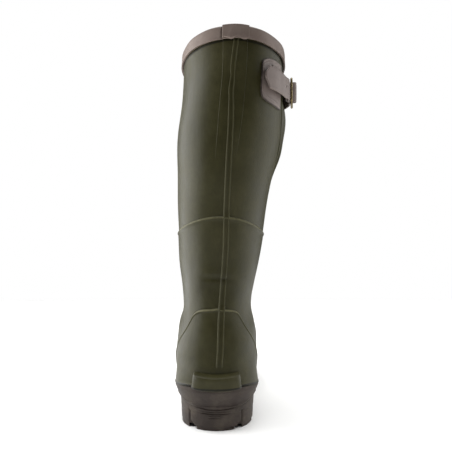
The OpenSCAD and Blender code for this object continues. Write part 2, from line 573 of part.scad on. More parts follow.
module in_buckle() translate([bar_at[0], bar_at[1], strap_z]) rotate(buckle_angle) children();
module band_solid(line, thick, width)
    translate([0, 0, strap_z - width / 2]) linear_extrude(width) polygon(strip(line, thick));
prong_w = 3;
chape_line = eased([on_leg(42, chape_mid), on_leg(48, chape_mid + 0.1), on_leg(54, chape_mid + 0.5),
                    at(-rail_u - 6, chape_v - 0.3), at(-rail_u, chape_v - 0.2), at(-6.5, chape_v),
                    at(-3.2, -loop_out - 0.8), at(0, -loop_out + chape_t / 2)], 21);
module buckle_chape() color(brown) difference() {
    union() {
        band_solid(chape_line, chape_t, strap_w - 2);
        translate([bar_at[0], bar_at[1], strap_z - strap_w / 2 + 1]) cylinder(r = loop_out, h = strap_w - 2);
    }
    translate([bar_at[0], bar_at[1], 0]) cylinder(r = loop_in, h = boot_h);
    in_buckle() translate([2.8, 0, 0]) cube([12.6, 12, prong_w + 1.2], center = true);
}
strap_line = eased([at(-rail_u - 4, under_v), at(-rail_u, under_v), at(-8, under_v + 0.4), at(-5.6, -0.6),
                    at(-3.2, 3.1), at(0, hump_v), at(3.2, 3.1), at(5.6, -0.6), at(8, under_v + 0.4),
                    at(rail_u, under_v), at(rail_u + 5, under_v - 0.4),
                    on_leg(108, 5.2), on_leg(117, chape_mid + 1.1), on_leg(125, chape_mid + 1.1),
                    on_leg(134, chape_mid + 1.1)], 60);
module strap() color(brown) difference() {
    band_solid(strap_line, strap_t, strap_w);
    in_buckle() translate([5, -1, 0]) cube([7.6, 9, prong_w + 0.8], center = true);
}
tail_line = eased([at(-rail_u - 4.7, under_v), at(-rail_u - 9, under_v + 0.2), on_leg(54, tail_mid + 0.9),
                   on_leg(47, tail_mid + 0.5), on_leg(40, tail_mid + 0.5), on_leg(33.5, tail_mid + 0.6)], 16);
module strap_tail() {
    n = len(tail_line) - 1;
    function row(i, side) =
        let (half = strap_w * (i == n ? 0.2 : i == n - 1 ? 0.38 : 0.5),
             p = tail_line[i] - side * line_normal(tail_line, i) * strap_t / 2)
        [[p[0], p[1], strap_z + half], [p[0], p[1], strap_z - half]];
    color(brown) patch([for (i = [0 : n]) row(i, 1)], [for (i = [0 : n]) row(i, -1)]);
}

frame_in = strap_w / 2 + 0.8;            // half height of the buckle's opening
frame_out = frame_in + frame_t;
module buckle_bar() color(brass) in_buckle() cylinder(d = bar_d, h = 2 * frame_out, center = true);
module rounded(w, h, r) {
    square([w - 2 * r, h], center = true);
    square([w, h - 2 * r], center = true);
    for (x = [-1, 1], y = [-1, 1]) translate([x * (w / 2 - r), y * (h / 2 - r)]) circle(r = r);
}
module buckle_frame() color(brass) in_buckle() difference() {
    rotate([90, 0, 0]) linear_extrude(frame_t, center = true) difference() {
        rounded(2 * rail_u + frame_t, 2 * frame_out, 4.5);
        rounded(2 * rail_u - frame_t, 2 * frame_in, 1.8);
    }
    cylinder(d = bar_d, h = 60, center = true);
}
prong_d = 2;
module buckle_prong() color(brass) in_buckle() difference() {
    union() {
        cylinder(r = loop_out - 0.3, h = prong_w, center = true);
        rotate([0, 0, -15]) translate([1.6, -0.4, 0]) rotate([0, 90, 0])
            cylinder(d = prong_d, h = rail_u + 0.6);
    }
    cylinder(r = loop_in, h = 10, center = true);
}

leg_shell();
foot_shell();
leg_lining();
foot_lining();
lasting_board();
shank();
heel_filler();
footbed();
gusset_panel();
top_binding();
binding_tab();
back_strip();
back_bead();
heel_counter();
toe_cap();
instep_overlay();
kick_ledge();
foxing_band();
outsole();
heel_lift();
heel_tread();
forefoot_tread();
strap_patch_rear();
strap_patch_front();
strap();
strap_tail();
buckle_chape();
buckle_bar();
buckle_frame();
buckle_prong();
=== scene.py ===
"""Insulated rubber hunting boot for the right foot: the finished pieces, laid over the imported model.

Everything is worked out in millimetres in the model's own frame (ground under the heel at the origin, +Y to the
toe, +X to the outer side) and becomes metres when a mesh is written. The upper is one surface, skin(s, t, off):
s runs down the leg and out to the toe, t goes round a section in degrees (0 at the back and under the foot, 90 on
the outer side), and off is the distance outwards.
"""

import bmesh
import bpy
import numpy as np
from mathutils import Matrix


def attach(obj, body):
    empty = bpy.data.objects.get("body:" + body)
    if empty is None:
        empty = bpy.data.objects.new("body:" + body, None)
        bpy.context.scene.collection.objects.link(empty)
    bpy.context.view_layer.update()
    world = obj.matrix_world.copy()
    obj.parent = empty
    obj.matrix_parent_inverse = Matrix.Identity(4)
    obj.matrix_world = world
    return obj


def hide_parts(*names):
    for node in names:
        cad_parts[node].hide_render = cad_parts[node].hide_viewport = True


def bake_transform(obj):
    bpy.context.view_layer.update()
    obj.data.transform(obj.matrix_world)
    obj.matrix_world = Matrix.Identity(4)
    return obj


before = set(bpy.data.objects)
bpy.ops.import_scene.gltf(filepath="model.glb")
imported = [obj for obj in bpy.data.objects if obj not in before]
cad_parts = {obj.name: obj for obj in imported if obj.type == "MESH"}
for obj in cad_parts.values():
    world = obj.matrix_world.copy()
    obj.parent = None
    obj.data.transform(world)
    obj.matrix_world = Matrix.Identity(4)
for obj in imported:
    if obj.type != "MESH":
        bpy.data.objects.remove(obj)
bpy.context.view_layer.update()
MM = 0.001

# ---- sizes of the boot, as in the part's source ----
BOOT_H, COLLAR_W, COLLAR_D, CALF_W, ANKLE_W, LEAN = 400.0, 111.0, 146.0, 115.0, 75.0, 18.5
HEEL_W, WAIST_W, BALL_W, INSTEP_H, TOE_H = 92.0, 78.0, 107.0, 110.0, 80.0
SEAT_HEEL, SEAT_BALL, HEEL_PLATE, SPRING, TREAD_H = 28.0, 13.5, 11.0, 9.0, 6.0
BAND_HEEL, BAND_TOE, RUBBER, LINING, LINING_GAP = 40.0, 31.0, 2.2, 4.5, 0.8
BINDING_H, BINDING_T, SKIN_GAP = 13.0, 1.3, 0.6
LEG_BACK, CALF_FRONT, ANKLE_BACK, HEEL_BACK, SOLE_TIP = -66.0, 73.0, -41.5, -48.0, 259.0
STEP, HEEL_R, HEEL_Y, TOE_Y, BREAST_Y = 44.0, 40.0, -5.0, 197.0, 44.0
SLIT_BOTTOM, SLIT_L, SLIT_REAR, SLIT_FRONT, SLIT_END = 251.0, 136.0, 62.0, 110.0, 85.0
STRAP_Z, STRAP_W, STRAP_T, PATCH_T, RAIL_U, FRAME_T, BAR_D = 359.0, 22.0, 2.2, 1.8, 10.6, 2.4, 2.2


def mix(a, b, f):
    """The value a share f of the way from a to b."""
    return a + (b - a) * f


def smooth(f):
    """3 f^2 - 2 f^3, with f held between 0 and 1."""
    f = np.clip(f, 0, 1)
    return f * f * (3 - 2 * f)


def bump(x):
    """A bell of height 1 at x = 0: e to the power of -x^2."""
    return np.exp(-np.square(x))


def power(v, p):
    """|v|^p with the sign of v."""
    return np.sign(v) * np.abs(v) ** p


def unit(v):
    """Vectors of length 1 along the last axis."""
    return v / np.maximum(np.linalg.norm(v, axis=-1, keepdims=True), 1e-9)


def spline(rows, s):
    """Catmull-Rom curve through the rows at the numbers s, which run from 0 to the last row."""
    rows, s = np.asarray(rows, float), np.asarray(s, float)
    i = np.clip(np.floor(s).astype(int), 0, len(rows) - 2)
    u = (s - i)[..., None]
    rows = np.vstack([2 * rows[:1] - rows[1:2], rows, 2 * rows[-1:] - rows[-2:-1]])
    a, b, c, d = rows[i], rows[i + 1], rows[i + 2], rows[i + 3]
    return 0.5 * (2 * b + (c - a) * u + (2 * a - 5 * b + 4 * c - d) * u**2 + (3 * b - a - 3 * c + d) * u**3)


# ---- outline of the sole: rows of y, inner x, outer x ----
BALL_IN, BALL_OUT = BALL_W * 0.508, BALL_W * 0.492
_heel = np.radians(np.arange(0, 91, 15))
_toe = np.radians(np.arange(12, 91, 13))
_mid = np.array([[0.17, 0, 0], [0.33, 0, 0.08], [0.5, 0.45, 0.42], [0.66, 0.83, 0.82], [0.8, 1, 1],
                 [0.92, 0.98, 0.9]])
_w, _c = np.cos(_toe) ** 0.72, mix(-2, -9, np.sin(_toe))
PLAN_ROWS = np.vstack([
    np.c_[HEEL_Y - HEEL_R * np.cos(_heel), -HEEL_R * np.sin(_heel), HEEL_R * np.sin(_heel)],
    np.c_[mix(HEEL_Y, TOE_Y, _mid[:, 0]), -mix(WAIST_W / 2 + 0.5, BALL_IN, _mid[:, 1]),
          mix(WAIST_W / 2 - 0.5, BALL_OUT, _mid[:, 2])],
    np.c_[TOE_Y + 62 * np.sin(_toe), _c - (BALL_IN - 3.5) * _w, _c + (BALL_OUT - 4) * _w]])
PLAN = spline(PLAN_ROWS, np.linspace(0, len(PLAN_ROWS) - 1, 3001))
_ring = np.vstack([PLAN[:, [2, 0]], PLAN[-2:0:-1][:, [1, 0]]])
_steps = np.linalg.norm(np.roll(_ring, -1, 0) - _ring, axis=1)
_even = np.r_[0, np.cumsum(_steps)] / _steps.sum()
_tangent = unit(np.roll(_ring, -12, 0) - np.roll(_ring, 12, 0))


def plan_mid(y):
    """Middle of the sole at y."""
    return np.interp(y, PLAN[:, 0], (PLAN[:, 1] + PLAN[:, 2]) / 2)


def plan_half(y):
    """Half the sole's width at y."""
    return np.interp(y, PLAN[:, 0], (PLAN[:, 2] - PLAN[:, 1]) / 2)


def outline(f, off=0.0):
    """Point of the sole's outline a share f of the way round, from the back by way of the outer side, moved out by
    off."""
    f = np.mod(f, 1)
    p = np.stack([np.interp(f, _even, np.r_[_ring[:, k], _ring[0, k]]) for k in (0, 1)], -1)
    d = unit(np.stack([np.interp(f, _even, np.r_[_tangent[:, k], _tangent[0, k]]) for k in (0, 1)], -1))
    return p + np.asarray(off)[..., None] * np.stack([d[..., 1], -d[..., 0]], -1)


def spring_z(y):
    """Rise of the tread towards the toe: a square law from 15 mm behind the toe's rounding."""
    return SPRING * np.clip((y - TOE_Y + 15) / (SOLE_TIP - TOE_Y + 15), 0, 1) ** 2


def seat_z(y):
    """Height of the foot's seat."""
    return mix(SEAT_HEEL, SEAT_BALL, smooth((y - 5) / 115)) + spring_z(y) * 1.2


def plate_z(y):
    """Height of the outsole plate's underside."""
    return mix(SEAT_HEEL - HEEL_PLATE, TREAD_H, smooth((y - BREAST_Y - 8) / 54)) + spring_z(y)


def band_z(y):
    """Height of the brown band's top."""
    return mix(BAND_HEEL, BAND_TOE, smooth(y / 120)) + spring_z(y)


# ---- sections of the upper: front y, front z, back y, back z, half width, x, egg, back squareness ----
def sections():
    """Leg sections by table, foot sections on the seat, then a blunt ellipsoid whose sections move on by sin a and
    shrink by a power of cos a."""
    rows = []
    for i, (w, b, f, k) in enumerate(zip([0, 0.90, 1, 0.78, 0.58, 0.38], [1, 1.02, 0.96, 0.74, 0.42, 0.14],
                                         [0, 0.14, 0.43, 0.71, 1, 1], [1, 0.94, 0.73, 0.47, 0.27, 0.16])):
        half = COLLAR_W / 2 if i == 0 else mix(ANKLE_W, CALF_W, w) / 2
        rows.append([mix(LEG_BACK + COLLAR_D, CALF_FRONT, f), BOOT_H - i * STEP, mix(ANKLE_BACK, LEG_BACK, b),
                     BOOT_H - i * STEP, half, LEAN * k, 0, 2])
    rows += [[76, INSTEP_H + 42, ANKLE_BACK, 144, ANKLE_W / 2 + 2.5, 1, 0.03, 2],
             [83, INSTEP_H + 26, ANKLE_BACK - 0.5, 114, ANKLE_W / 2 - 0.3, 0.2, 0.07, 2],
             [91, INSTEP_H + 16, HEEL_BACK + 2.5, 86, (ANKLE_W + HEEL_W) / 4, -0.3, 0.10, 2],
             [97, INSTEP_H + 9, HEEL_BACK, 62, HEEL_W / 2 - 2, -0.5, 0.10, 2],
             [102, INSTEP_H + 4.5, HEEL_BACK + 1.5, 45, HEEL_W / 2 - 2, -0.5, 0.10, 2.2],
             [106, INSTEP_H + 1.5, HEEL_BACK + 9, SEAT_HEEL + 4.5, HEEL_W / 2 - 3.5, -0.5, 0.08, 2.5],
             [111, INSTEP_H - 1.5, HEEL_BACK + 30, SEAT_HEEL + 0.8, HEEL_W / 2 - 5.5, -0.5, 0.05, 2.8]]
    for front, rise, back in [[118, 0.86, 20], [129, 0.74, 60], [145, 0.57, 100], [165, 0.36, 138], [185, 0.15, 170],
                              [199, 0, 193]]:
        y = mix(back, front, 0.3)
        rows.append([front, mix(TOE_H, INSTEP_H, rise), back, seat_z(back) + 0.9, plan_half(y) - 3.2, plan_mid(y),
                     0.02, 2.9])
    b = rows[-1]
    y0 = (b[0] + b[2]) / 2
    for a in np.radians([18, 34, 48, 60, 70, 78, 84]):
        sn, cs = np.sin(a), np.cos(a)
        y, h, z = y0 + (SOLE_TIP - 4.5 - y0) * sn, (b[1] - b[3]) / 2 * cs**0.78, (b[1] + b[3]) / 2 - 2 * sn
        rows.append([y + 3 * cs, z + h, y - 3 * cs, z - h, b[4] * cs**0.72, b[5] - 5.5 * sn, b[6] * cs,
                     mix(2.9, 2.3, sn)])
    return np.array(rows)


SECTIONS = sections()
S_LAST = len(SECTIONS) - 1.0


def section_point(s, t):
    """Point of a section: a superellipse of exponent n in its back half and 2 in its front half, wider at the back by
    the egg factor."""
    s, t = np.broadcast_arrays(np.asarray(s, float), np.asarray(t, float))
    q = spline(SECTIONS, s)
    c, sn = np.cos(np.radians(t)), np.sin(np.radians(t))
    n = np.where(c > 0, q[..., 7], 2)
    r = power(c, 2 / n) / 2
    x = q[..., 4] * power(sn, 2 / n) * (1 + q[..., 6] * c)
    return np.stack([q[..., 5] + x, (q[..., 0] + q[..., 2]) / 2 + (q[..., 2] - q[..., 0]) * r,
                     (q[..., 1] + q[..., 3]) / 2 + (q[..., 3] - q[..., 1]) * r], -1)


def skin_normal(s, t):
    """Outward normal of the upper: the cross product of its two directions, by differences."""
    a = np.clip(s, 0.02, S_LAST - 0.02)
    return unit(np.cross(section_point(a + 0.02, t) - section_point(a - 0.02, t),
                         section_point(s, t + 1.0) - section_point(s, t - 1.0)))


def around(t, middle=0.0):
    """The angle t measured from middle, between -180 and 180."""
    return np.mod(t - middle + 180, 360) - 180


def relief(s, t):
    """How far the rubber stands off its even form: long waves of soft sheet rubber, one crease behind the ankle with
    a swelling above and below it, and three folds across the instep where the foot bends."""
    d, r = around(t), np.radians(t)
    wave = 0.30 * np.sin(1.9 * s + 2 * r + 0.6) * np.cos(3 * r + 0.9 * s) + 0.18 * np.sin(4.3 * s - 3 * r)
    wave = wave * (1 - smooth((s - 8) / 4)) * smooth((s - 0.3) / 0.8)
    crease_s = 5.67 + 0.018 * np.sin(d / 9.0) + 0.00003 * d**2
    back = smooth((46 - np.abs(d - 6)) / 26)
    u = (s - crease_s) * 44
    crease = back * (-0.75 * bump(u / 1.5) + 0.25 * bump((u - 6) / 5) + 0.45 * bump((u + 7) / 6))
    f = around(t, 180)
    front = smooth((62 - np.abs(f)) / 40)
    folds = 0
    for at_s, deep, tilt in ((7.35, 1.1, 0.0020), (8.25, 1.4, -0.0012), (9.2, 1.0, 0.0016)):
        v = (s - at_s - tilt * f - 0.00008 * f**2) * 17
        folds = folds + deep * (0.75 * bump((v + 3.4) / 2.6) - bump(v / 1.7) + 0.5 * bump((v - 3.6) / 2.8))
    return wave + crease + front * folds


EDGE_SHARES = np.linspace(0, 1, 640, endpoint=False)
EDGE = outline(EDGE_SHARES)
EDGE_OUT = outline(EDGE_SHARES, 1.0) - EDGE


def flare(y, z):
    """How far the band's side stands outside the outline: 0.6 at the seat, then out to the heel or in to the toes."""
    lean = mix(HEEL_W / 2 - HEEL_R - 1.2, -2.6, smooth((y + 15) / 90))
    return 0.6 + lean * np.clip((z - seat_z(y)) / (band_z(y) - seat_z(y)), 0, 1)


def settled(p):
    """Moves low points of the upper out towards the band's side: to 1.7 mm short of it above the band's top, fading
    over 30 mm, and to 3 mm short of it below."""
    flat = p.reshape(-1, 3)
    top = band_z(flat[:, 1])
    share = smooth((top + 30 - flat[:, 2]) / 30) * smooth((flat[:, 2] - seat_z(flat[:, 1])) / 3)
    low = np.flatnonzero(share > 0.001)
    moved = flat.copy()
    for part in np.array_split(low, max(1, len(low) // 6000)):
        q = flat[part, :2]
        near = np.argmin(((q[:, None] - EDGE[None]) ** 2).sum(2), 1)
        out = EDGE_OUT[near]
        inside = -((q - EDGE[near]) * out).sum(1)
        y, z = flat[part, 1], flat[part, 2]
        missing = np.clip(inside + flare(y, z) - 1.7 - 1.3 * smooth((top[part] + 2 - z) / 4), 0, 9)
        moved[part, :2] += out * (missing * share[part])[:, None]
    return moved.reshape(p.shape)


def skin(s, t, off=0.0):
    """Point of the upper at off outside its surface, relief included."""
    s, t = np.broadcast_arrays(np.asarray(s, float), np.asarray(t, float))
    return settled(section_point(s, t)) + (np.asarray(off) + relief(s, t))[..., None] * skin_normal(s, t)


def leg_s(z):
    """Section number of a height on the leg."""
    return (BOOT_H - z) / STEP


# ---- meshes ----
def grid_faces(nr, nc, first=0, wrap=False):
    """Quads of a grid of nr rows and nc columns whose points start at number first."""
    j, i = np.meshgrid(np.arange(nr - 1), np.arange(nc if wrap else nc - 1), indexing="ij")
    k = (i + 1) % nc
    return (first + np.stack([j * nc + i, (j + 1) * nc + i, (j + 1) * nc + k, j * nc + k], -1)).reshape(-1, 4)


def wall_faces(a, b):
    """Quads between two lines of point numbers."""
    a, b = np.asarray(a), np.asarray(b)
    return np.stack([a[:-1], a[1:], b[1:], b[:-1]], -1)


def make(name, points, faces, finish, slot, body="root", stands_for=(), uv=None, sharp=None, apart=False):
    """Writes points and faces into a mesh in metres, merges doubles, turns the faces outwards and sets the piece on
    its body."""
    mesh = bpy.data.meshes.new(name)
    faces = [list(map(int, f)) for f in faces]
    mesh.from_pydata((np.asarray(points, float).reshape(-1, 3) * MM).tolist(), [], faces)
    if uv is not None:
        layer = mesh.uv_layers.new(name="surface")
        order = np.array([v for f in faces for v in f])
        layer.data.foreach_set("uv", np.asarray(uv, float).reshape(-1, 2)[order].ravel())
    bm = bmesh.new()
    bm.from_mesh(mesh)
    bmesh.ops.remove_doubles(bm, verts=bm.verts, dist=2e-6)
    bmesh.ops.dissolve_degenerate(bm, edges=bm.edges, dist=1e-7)
    bmesh.ops.recalc_face_normals(bm, faces=bm.faces)
    if sharp:
        for e in bm.edges:
            if len(e.link_faces) == 2 and e.calc_face_angle() > np.radians(sharp):
                e.smooth = False
    open_edges = sum(1 for e in bm.edges if len(e.link_faces) != 2)
    if bm.calc_volume(signed=True) < 0:
        bmesh.ops.reverse_faces(bm, faces=bm.faces)
    bm.to_mesh(mesh)
    bm.free()
    if open_edges:
        print(f"{name}: {open_edges} open edges")
    mesh.polygons.foreach_set("use_smooth", np.ones(len(mesh.polygons), bool))
    return dress(name, mesh, finish, body, stands_for, apart)


def placed(name, data):
    """A new object of a mesh, lamp or camera, linked to the scene."""
    thing = bpy.data.objects.new(name, data)
    bpy.context.scene.collection.objects.link(thing)
    return thing


def dress(name, mesh, finish, body, stands_for, apart=False):
    """Makes the object of a finished mesh, with its material, body and the nodes it stands for."""
    piece = placed(name, mesh)
    mesh.materials.clear()
    mesh.materials.append(finish)
    if not apart:
        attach(piece, body)
    if stands_for:
        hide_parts(*([stands_for] if isinstance(stands_for, str) else stands_for))
    return piece


def solid(name, outer, inner, finish, slot, wrap=False, slit=0, tip=False, uv=None, **more):
    """A closed solid between an outer and an inner grid of points. With wrap the rows are rings: above row slit they
    are open and leave two edges, and with tip the last ring closes to a point."""
    nr, nc = outer.shape[:2]
    k = nr * nc
    n = np.arange(k).reshape(nr, nc)
    faces = [grid_faces(nr, nc), grid_faces(nr, nc, k)[:, ::-1], wall_faces(n[0], n[0] + k)]
    points = [outer.reshape(-1, 3), inner.reshape(-1, 3)]
    extra_uv = []
    if tip:
        for base, grid in ((0, outer), (k, inner)):
            end = 2 * k + len(extra_uv)
            points.append(grid[-1, :-1].mean(0, keepdims=True) + [[0, 0.6, 0]])
            ring = n[-1] + base
            faces.append(np.stack([ring[:-1], ring[1:], np.full(nc - 1, end), np.full(nc - 1, end)], -1))
            extra_uv.append([0, 99])
    else:
        faces.append(wall_faces(n[-1] + k, n[-1]))
    if not wrap:
        faces += [wall_faces(n[:, 0] + k, n[:, 0]), wall_faces(n[:, -1], n[:, -1] + k)]
    elif slit:
        a, b = n[: slit + 1, 0], n[: slit + 1, -1]
        faces += [wall_faces(a + k, a), wall_faces(b, b + k)]
    faces = [list(dict.fromkeys(f)) for f in np.vstack(faces).tolist()]
    if uv is not None:
        uv = np.vstack([uv.reshape(-1, 2), uv.reshape(-1, 2), *([extra_uv] if extra_uv else [])])
    return make(name, np.vstack(points), faces, finish, slot, uv=uv, **more)


def loft(name, rings, finish, slot, ends=True, uv=None, **more):
    """A solid through closed rings of equal length, one row each, with a flat cap at each end, or a closed loop of
    rings if ends is false."""
    nr, nc = rings.shape[:2]
    if ends:
        faces = grid_faces(nr, nc, wrap=True).tolist() + [list(range(nc)), list(range((nr - 1) * nc, nr * nc))]
    else:
        faces = (grid_faces(nr + 1, nc, wrap=True) % (nr * nc)).tolist()
    return make(name, rings.reshape(-1, 3), faces, finish, slot, uv=uv, **more)


def crowded(n, edge=0.06):
    """n numbers from 0 to 1, a third of them within edge of each end."""
    m = n // 3
    a = np.linspace(0, edge, m, endpoint=False)
    return np.r_[a, np.linspace(edge, 1 - edge, n - 2 * m, endpoint=False), 1 - a[::-1]]


def edge_distance(grid):
    """Distance in mm from each point of a grid to its nearer side, along its rows and then along its columns."""
    across = np.linalg.norm(np.diff(grid, axis=1), axis=2)
    along = np.linalg.norm(np.diff(grid, axis=0), axis=2)
    u = np.concatenate([np.zeros((grid.shape[0], 1)), np.cumsum(across, 1)], 1)
    v = np.concatenate([np.zeros((1, grid.shape[1])), np.cumsum(along, 0)], 0)
    return np.minimum(u, u[:, -1:] - u), np.minimum(v, v[-1:] - v)


def rolled(d, radius):
    """Height of an edge rounded by a quarter circle: 0 at the edge and 1 from radius inwards."""
    return np.sqrt(np.clip(1 - (1 - np.clip(d / radius, 0, 1)) ** 2, 0, 1))


# ---- finishes ----
class Value:
    """A number that changes over a surface, as a node's socket: + - * / and ** add Math nodes."""

    def __init__(self, finish, socket):
        self.finish, self.socket = finish, socket

    def sum(self, operation, a, b=0.5):
        """The result of one Math node."""
        n = self.finish.node("ShaderNodeMath", {"operation": operation}, {0: a, 1: b})
        return Value(self.finish, n.outputs[0])

    def __add__(self, other):
        return self.sum("ADD", self, other)

    def __sub__(self, other):
        return self.sum("SUBTRACT", self, other)

    def __rsub__(self, other):
        return self.sum("SUBTRACT", other, self)

    def __mul__(self, other):
        return self.sum("MULTIPLY", self, other)

    def __truediv__(self, other):
        return self.sum("DIVIDE", self, other)

    def __pow__(self, other):
        return self.sum("POWER", self, other)

    __radd__, __rmul__ = __add__, __mul__

    def at_least(self, other):
        """The greater of the two."""
        return self.sum("MAXIMUM", self, other)

    def size(self):
        """The value without its sign."""
        return self.sum("ABSOLUTE", self)

    def wave(self):
        """The sine of the value."""
        return self.sum("SINE", self)

    def between(self, low, high, out_low=0.0, out_high=1.0):
        """Runs smoothly from out_low where the value is low to out_high where it is high."""
        n = self.finish.node("ShaderNodeMapRange", {"interpolation_type": "SMOOTHSTEP"},
                             {0: self, 1: low, 2: high, 3: out_low, 4: out_high})
        return Value(self.finish, n.outputs[0])


def paint(code):
    """Linear colour of a #rrggbb code."""
    c = np.array([int(code[i:i + 2], 16) for i in (1, 3, 5)]) / 255
    return (*np.where(c <= 0.04045, c / 12.92, ((c + 0.055) / 1.055) ** 2.4), 1.0)


class Finish:
    """A procedural material: constants go straight on the shader, and expressions on its varying sockets."""

    def __init__(self, name, **constants):
        self.material = bpy.data.materials.new(name)
        self.material.use_nodes = True
        self.tree = self.material.node_tree
        self.shader = self.tree.nodes["Principled BSDF"]
        self.place = self.tree.nodes.new("ShaderNodeTexCoord")
        for key, value in constants.items():
            self.shader.inputs[key.replace("_", " ")].default_value = value

    def node(self, kind, settings=None, inputs=None):
        """Adds a node of that kind: its settings or a ramp's stops first, then the values or links of its sockets."""
        n = self.tree.nodes.new(kind)
        for key, value in (settings or {}).items():
            if key == "stops":
                while len(n.color_ramp.elements) < len(value):
                    n.color_ramp.elements.new(0.5)
                for e, (at_, colour) in zip(n.color_ramp.elements, value):
                    e.position, e.color = at_, colour
            else:
                setattr(n, key, value)
        for key, value in (inputs or {}).items():
            self.feed(n.inputs[key], value)
        return n

    def feed(self, socket, value):
        """Links a value's socket, or sets a plain number or colour."""
        if isinstance(value, Value):
            self.tree.links.new(value.socket, socket)
        elif hasattr(value, "is_output"):
            self.tree.links.new(value, socket)
        else:
            socket.default_value = value

    def scaled(self, scale, source="Object"):
        """The surface's own coordinates times scale, in metres for Object and in mm for UV."""
        return self.node("ShaderNodeMapping", None, {"Vector": self.place.outputs[source], "Scale": scale}).outputs[0]

    def noise(self, scale, detail=3.0, rough=0.55, stretch=(1, 1, 1), source="Object"):
        """Cloudy noise with scale waves to the unit; a small stretch draws it out along that axis."""
        n = self.node("ShaderNodeTexNoise", None, {"Vector": self.scaled(stretch, source), "Scale": scale,
                                                   "Detail": detail, "Roughness": rough})
        return Value(self, n.outputs[0])

    def cells(self, scale):
        """Distance to the middle of the nearest cell."""
        n = self.node("ShaderNodeTexVoronoi", None, {"Vector": self.place.outputs["Object"], "Scale": scale})
        return Value(self, n.outputs["Distance"])

    def axis(self, index, source="Object"):
        """One coordinate of the surface."""
        n = self.node("ShaderNodeSeparateXYZ", None, {0: self.place.outputs[source]})
        return Value(self, n.outputs[index])

    def ramp(self, value, stops):
        """Colours along a value: stops are (where, colour code)."""
        return self.node("ShaderNodeValToRGB", {"stops": [(a, paint(c)) for a, c in stops]}, {0: value}).outputs[0]

    def blend(self, share, a, b):
        """Colour a, with a share of colour b over it."""
        n = self.node("ShaderNodeMix", {"data_type": "RGBA"}, {0: share, 6: a, 7: b})
        return n.outputs[2]

    def done(self, colour=None, roughness=None, metallic=None, bumps=()):
        """Links the varying sockets. bumps are (height, how deep in metres), finest last."""
        for key, value in (("Base Color", colour), ("Roughness", roughness), ("Metallic", metallic)):
            if value is not None:
                self.feed(self.shader.inputs[key], value)
        normal = None
        for height, deep in bumps:
            n = self.node("ShaderNodeBump", None, {"Height": height, "Strength": 1.0, "Distance": deep})
            if normal is not None:
                self.feed(n.inputs["Normal"], normal)
            normal = n.outputs[0]
        if normal is not None:
            self.feed(self.shader.inputs["Normal"], normal)
        return self.material


def seam_line(f, z, shift, half):
    """1 on the line where the upper meets the band's top, where shade is painted: the band_top curve in metres, moved
    up by shift.
    """
    y = f.axis(1)
    top = (y.between(0, 0.12, BAND_HEEL * MM, BAND_TOE * MM) + y.between(-0.044, -0.004, 0.0046, 0.0)
           + ((y - 0.182) / 0.077).at_least(0) ** 2 * 0.009)
    return (z - top - shift).size().between(half * 0.4, half, 1.0, 0.0)


def moulded_rubber(name, dark, middle, light, low, high, grain=1.0, dust=0.5, rim=None, upper=False, **constants):
    """Sheet rubber from a mould: cloudy colour, a fine matt grain, faint flow streaks, scuffs, and dust near the
    ground, with the roughness following all of them. rim is (colour, from, to, share): a line painted along the piece's
    edge, whose distance in mm is the UV map's second axis: a painted highlight on the lapped edges and the seam bead,
    and painted shade round the patches. upper paints shade into the seam over the band, with some grime, and a painted
    shadow under the binding."""
    f = Finish(name, **constants)
    cloud, mottle = f.noise(9, 4, 0.6), f.noise(70, 5, 0.62)
    streak = f.noise(26, 3, 0.5, (1, 1, 0.16))
    pores = f.noise(1500, 2, 0.6)
    dimple = f.cells(620)
    scuff_place = f.noise(16, 2, 0.5).between(0.56, 0.74)
    scuff = f.noise(240, 4, 0.7, (1, 1, 0.22)).between(0.56, 0.70) * scuff_place
    height = f.axis(2)
    dusty = height.between(0.0, 0.16, 1.0, 0.12) * f.noise(45, 5, 0.66).between(0.44, 0.72) * dust
    tone = cloud * 0.45 + mottle * 0.35 + streak * 0.2
    colour = f.ramp(tone, [(0.34, dark), (0.5, middle), (0.68, light)])
    colour = f.blend(scuff * 0.28, colour, paint(light))
    colour = f.blend(dusty * 0.42, colour, paint("#8c8371"))
    # painted shade: a dark line in the seam over the band's top, with some grime in it, and a painted shadow under the
    # binding's lower edge
    if upper:
        painted_binding_shadow = (height - 0.3857).size().between(0.0006, 0.0017, 1.0, 0.0)
        painted_seam_shade = seam_line(f, height, 0.0014, 0.0016).at_least(painted_binding_shadow)
        colour = f.blend(painted_seam_shade * (mottle * 0.4 + 0.62), colour, paint("#0c0b07"))
    # the rim colour painted along the edge: a painted highlight where it is light, painted shade where it is dark
    if rim is not None:
        edge, broken = f.axis(1, "UV"), f.noise(130, 4, 0.65).between(0.3, 0.62, 0.55, 1.0)
        line = edge.between(rim[1] - 0.4, rim[1], 0.0, 1.0) * edge.between(rim[2], rim[2] + 0.9, 1.0, 0.0) * broken
        colour = f.blend(line * rim[3], colour, paint(rim[0]))
    rough = tone.between(0.3, 0.7, low, high) + scuff * 0.14 + dusty * 0.22 + (pores - 0.5) * 0.06
    depths = ((cloud, 0.0012), (mottle, 0.00022), (dimple, 0.00005), (pores, 0.00005), (scuff, -0.00005))
    return f.done(colour, rough, bumps=[(relief_of, deep * grain) for relief_of, deep in depths])


def brass(name):
    """Antique brass: warm metal rubbed bright on a brown patina, with fine scratches and pits."""
    f = Finish(name, Specular_IOR_Level=0.5)
    patina = f.noise(160, 5, 0.7).between(0.42, 0.62)
    scratch = f.noise(900, 3, 0.6, (0.2, 1, 1))
    pits = f.noise(1900, 2, 0.5).between(0.6, 0.72)
    colour = f.blend(patina * 0.75, paint("#8f8058"), paint("#463b24"))
    colour = f.blend(pits * 0.6, colour, paint("#2f2617"))
    rough = patina * 0.2 + scratch * 0.18 + pits * 0.2 + 0.14
    return f.done(colour, rough, 1.0 - patina * 0.25, [(patina, -0.00006), (scratch, 0.00003), (pits, -0.00008)])


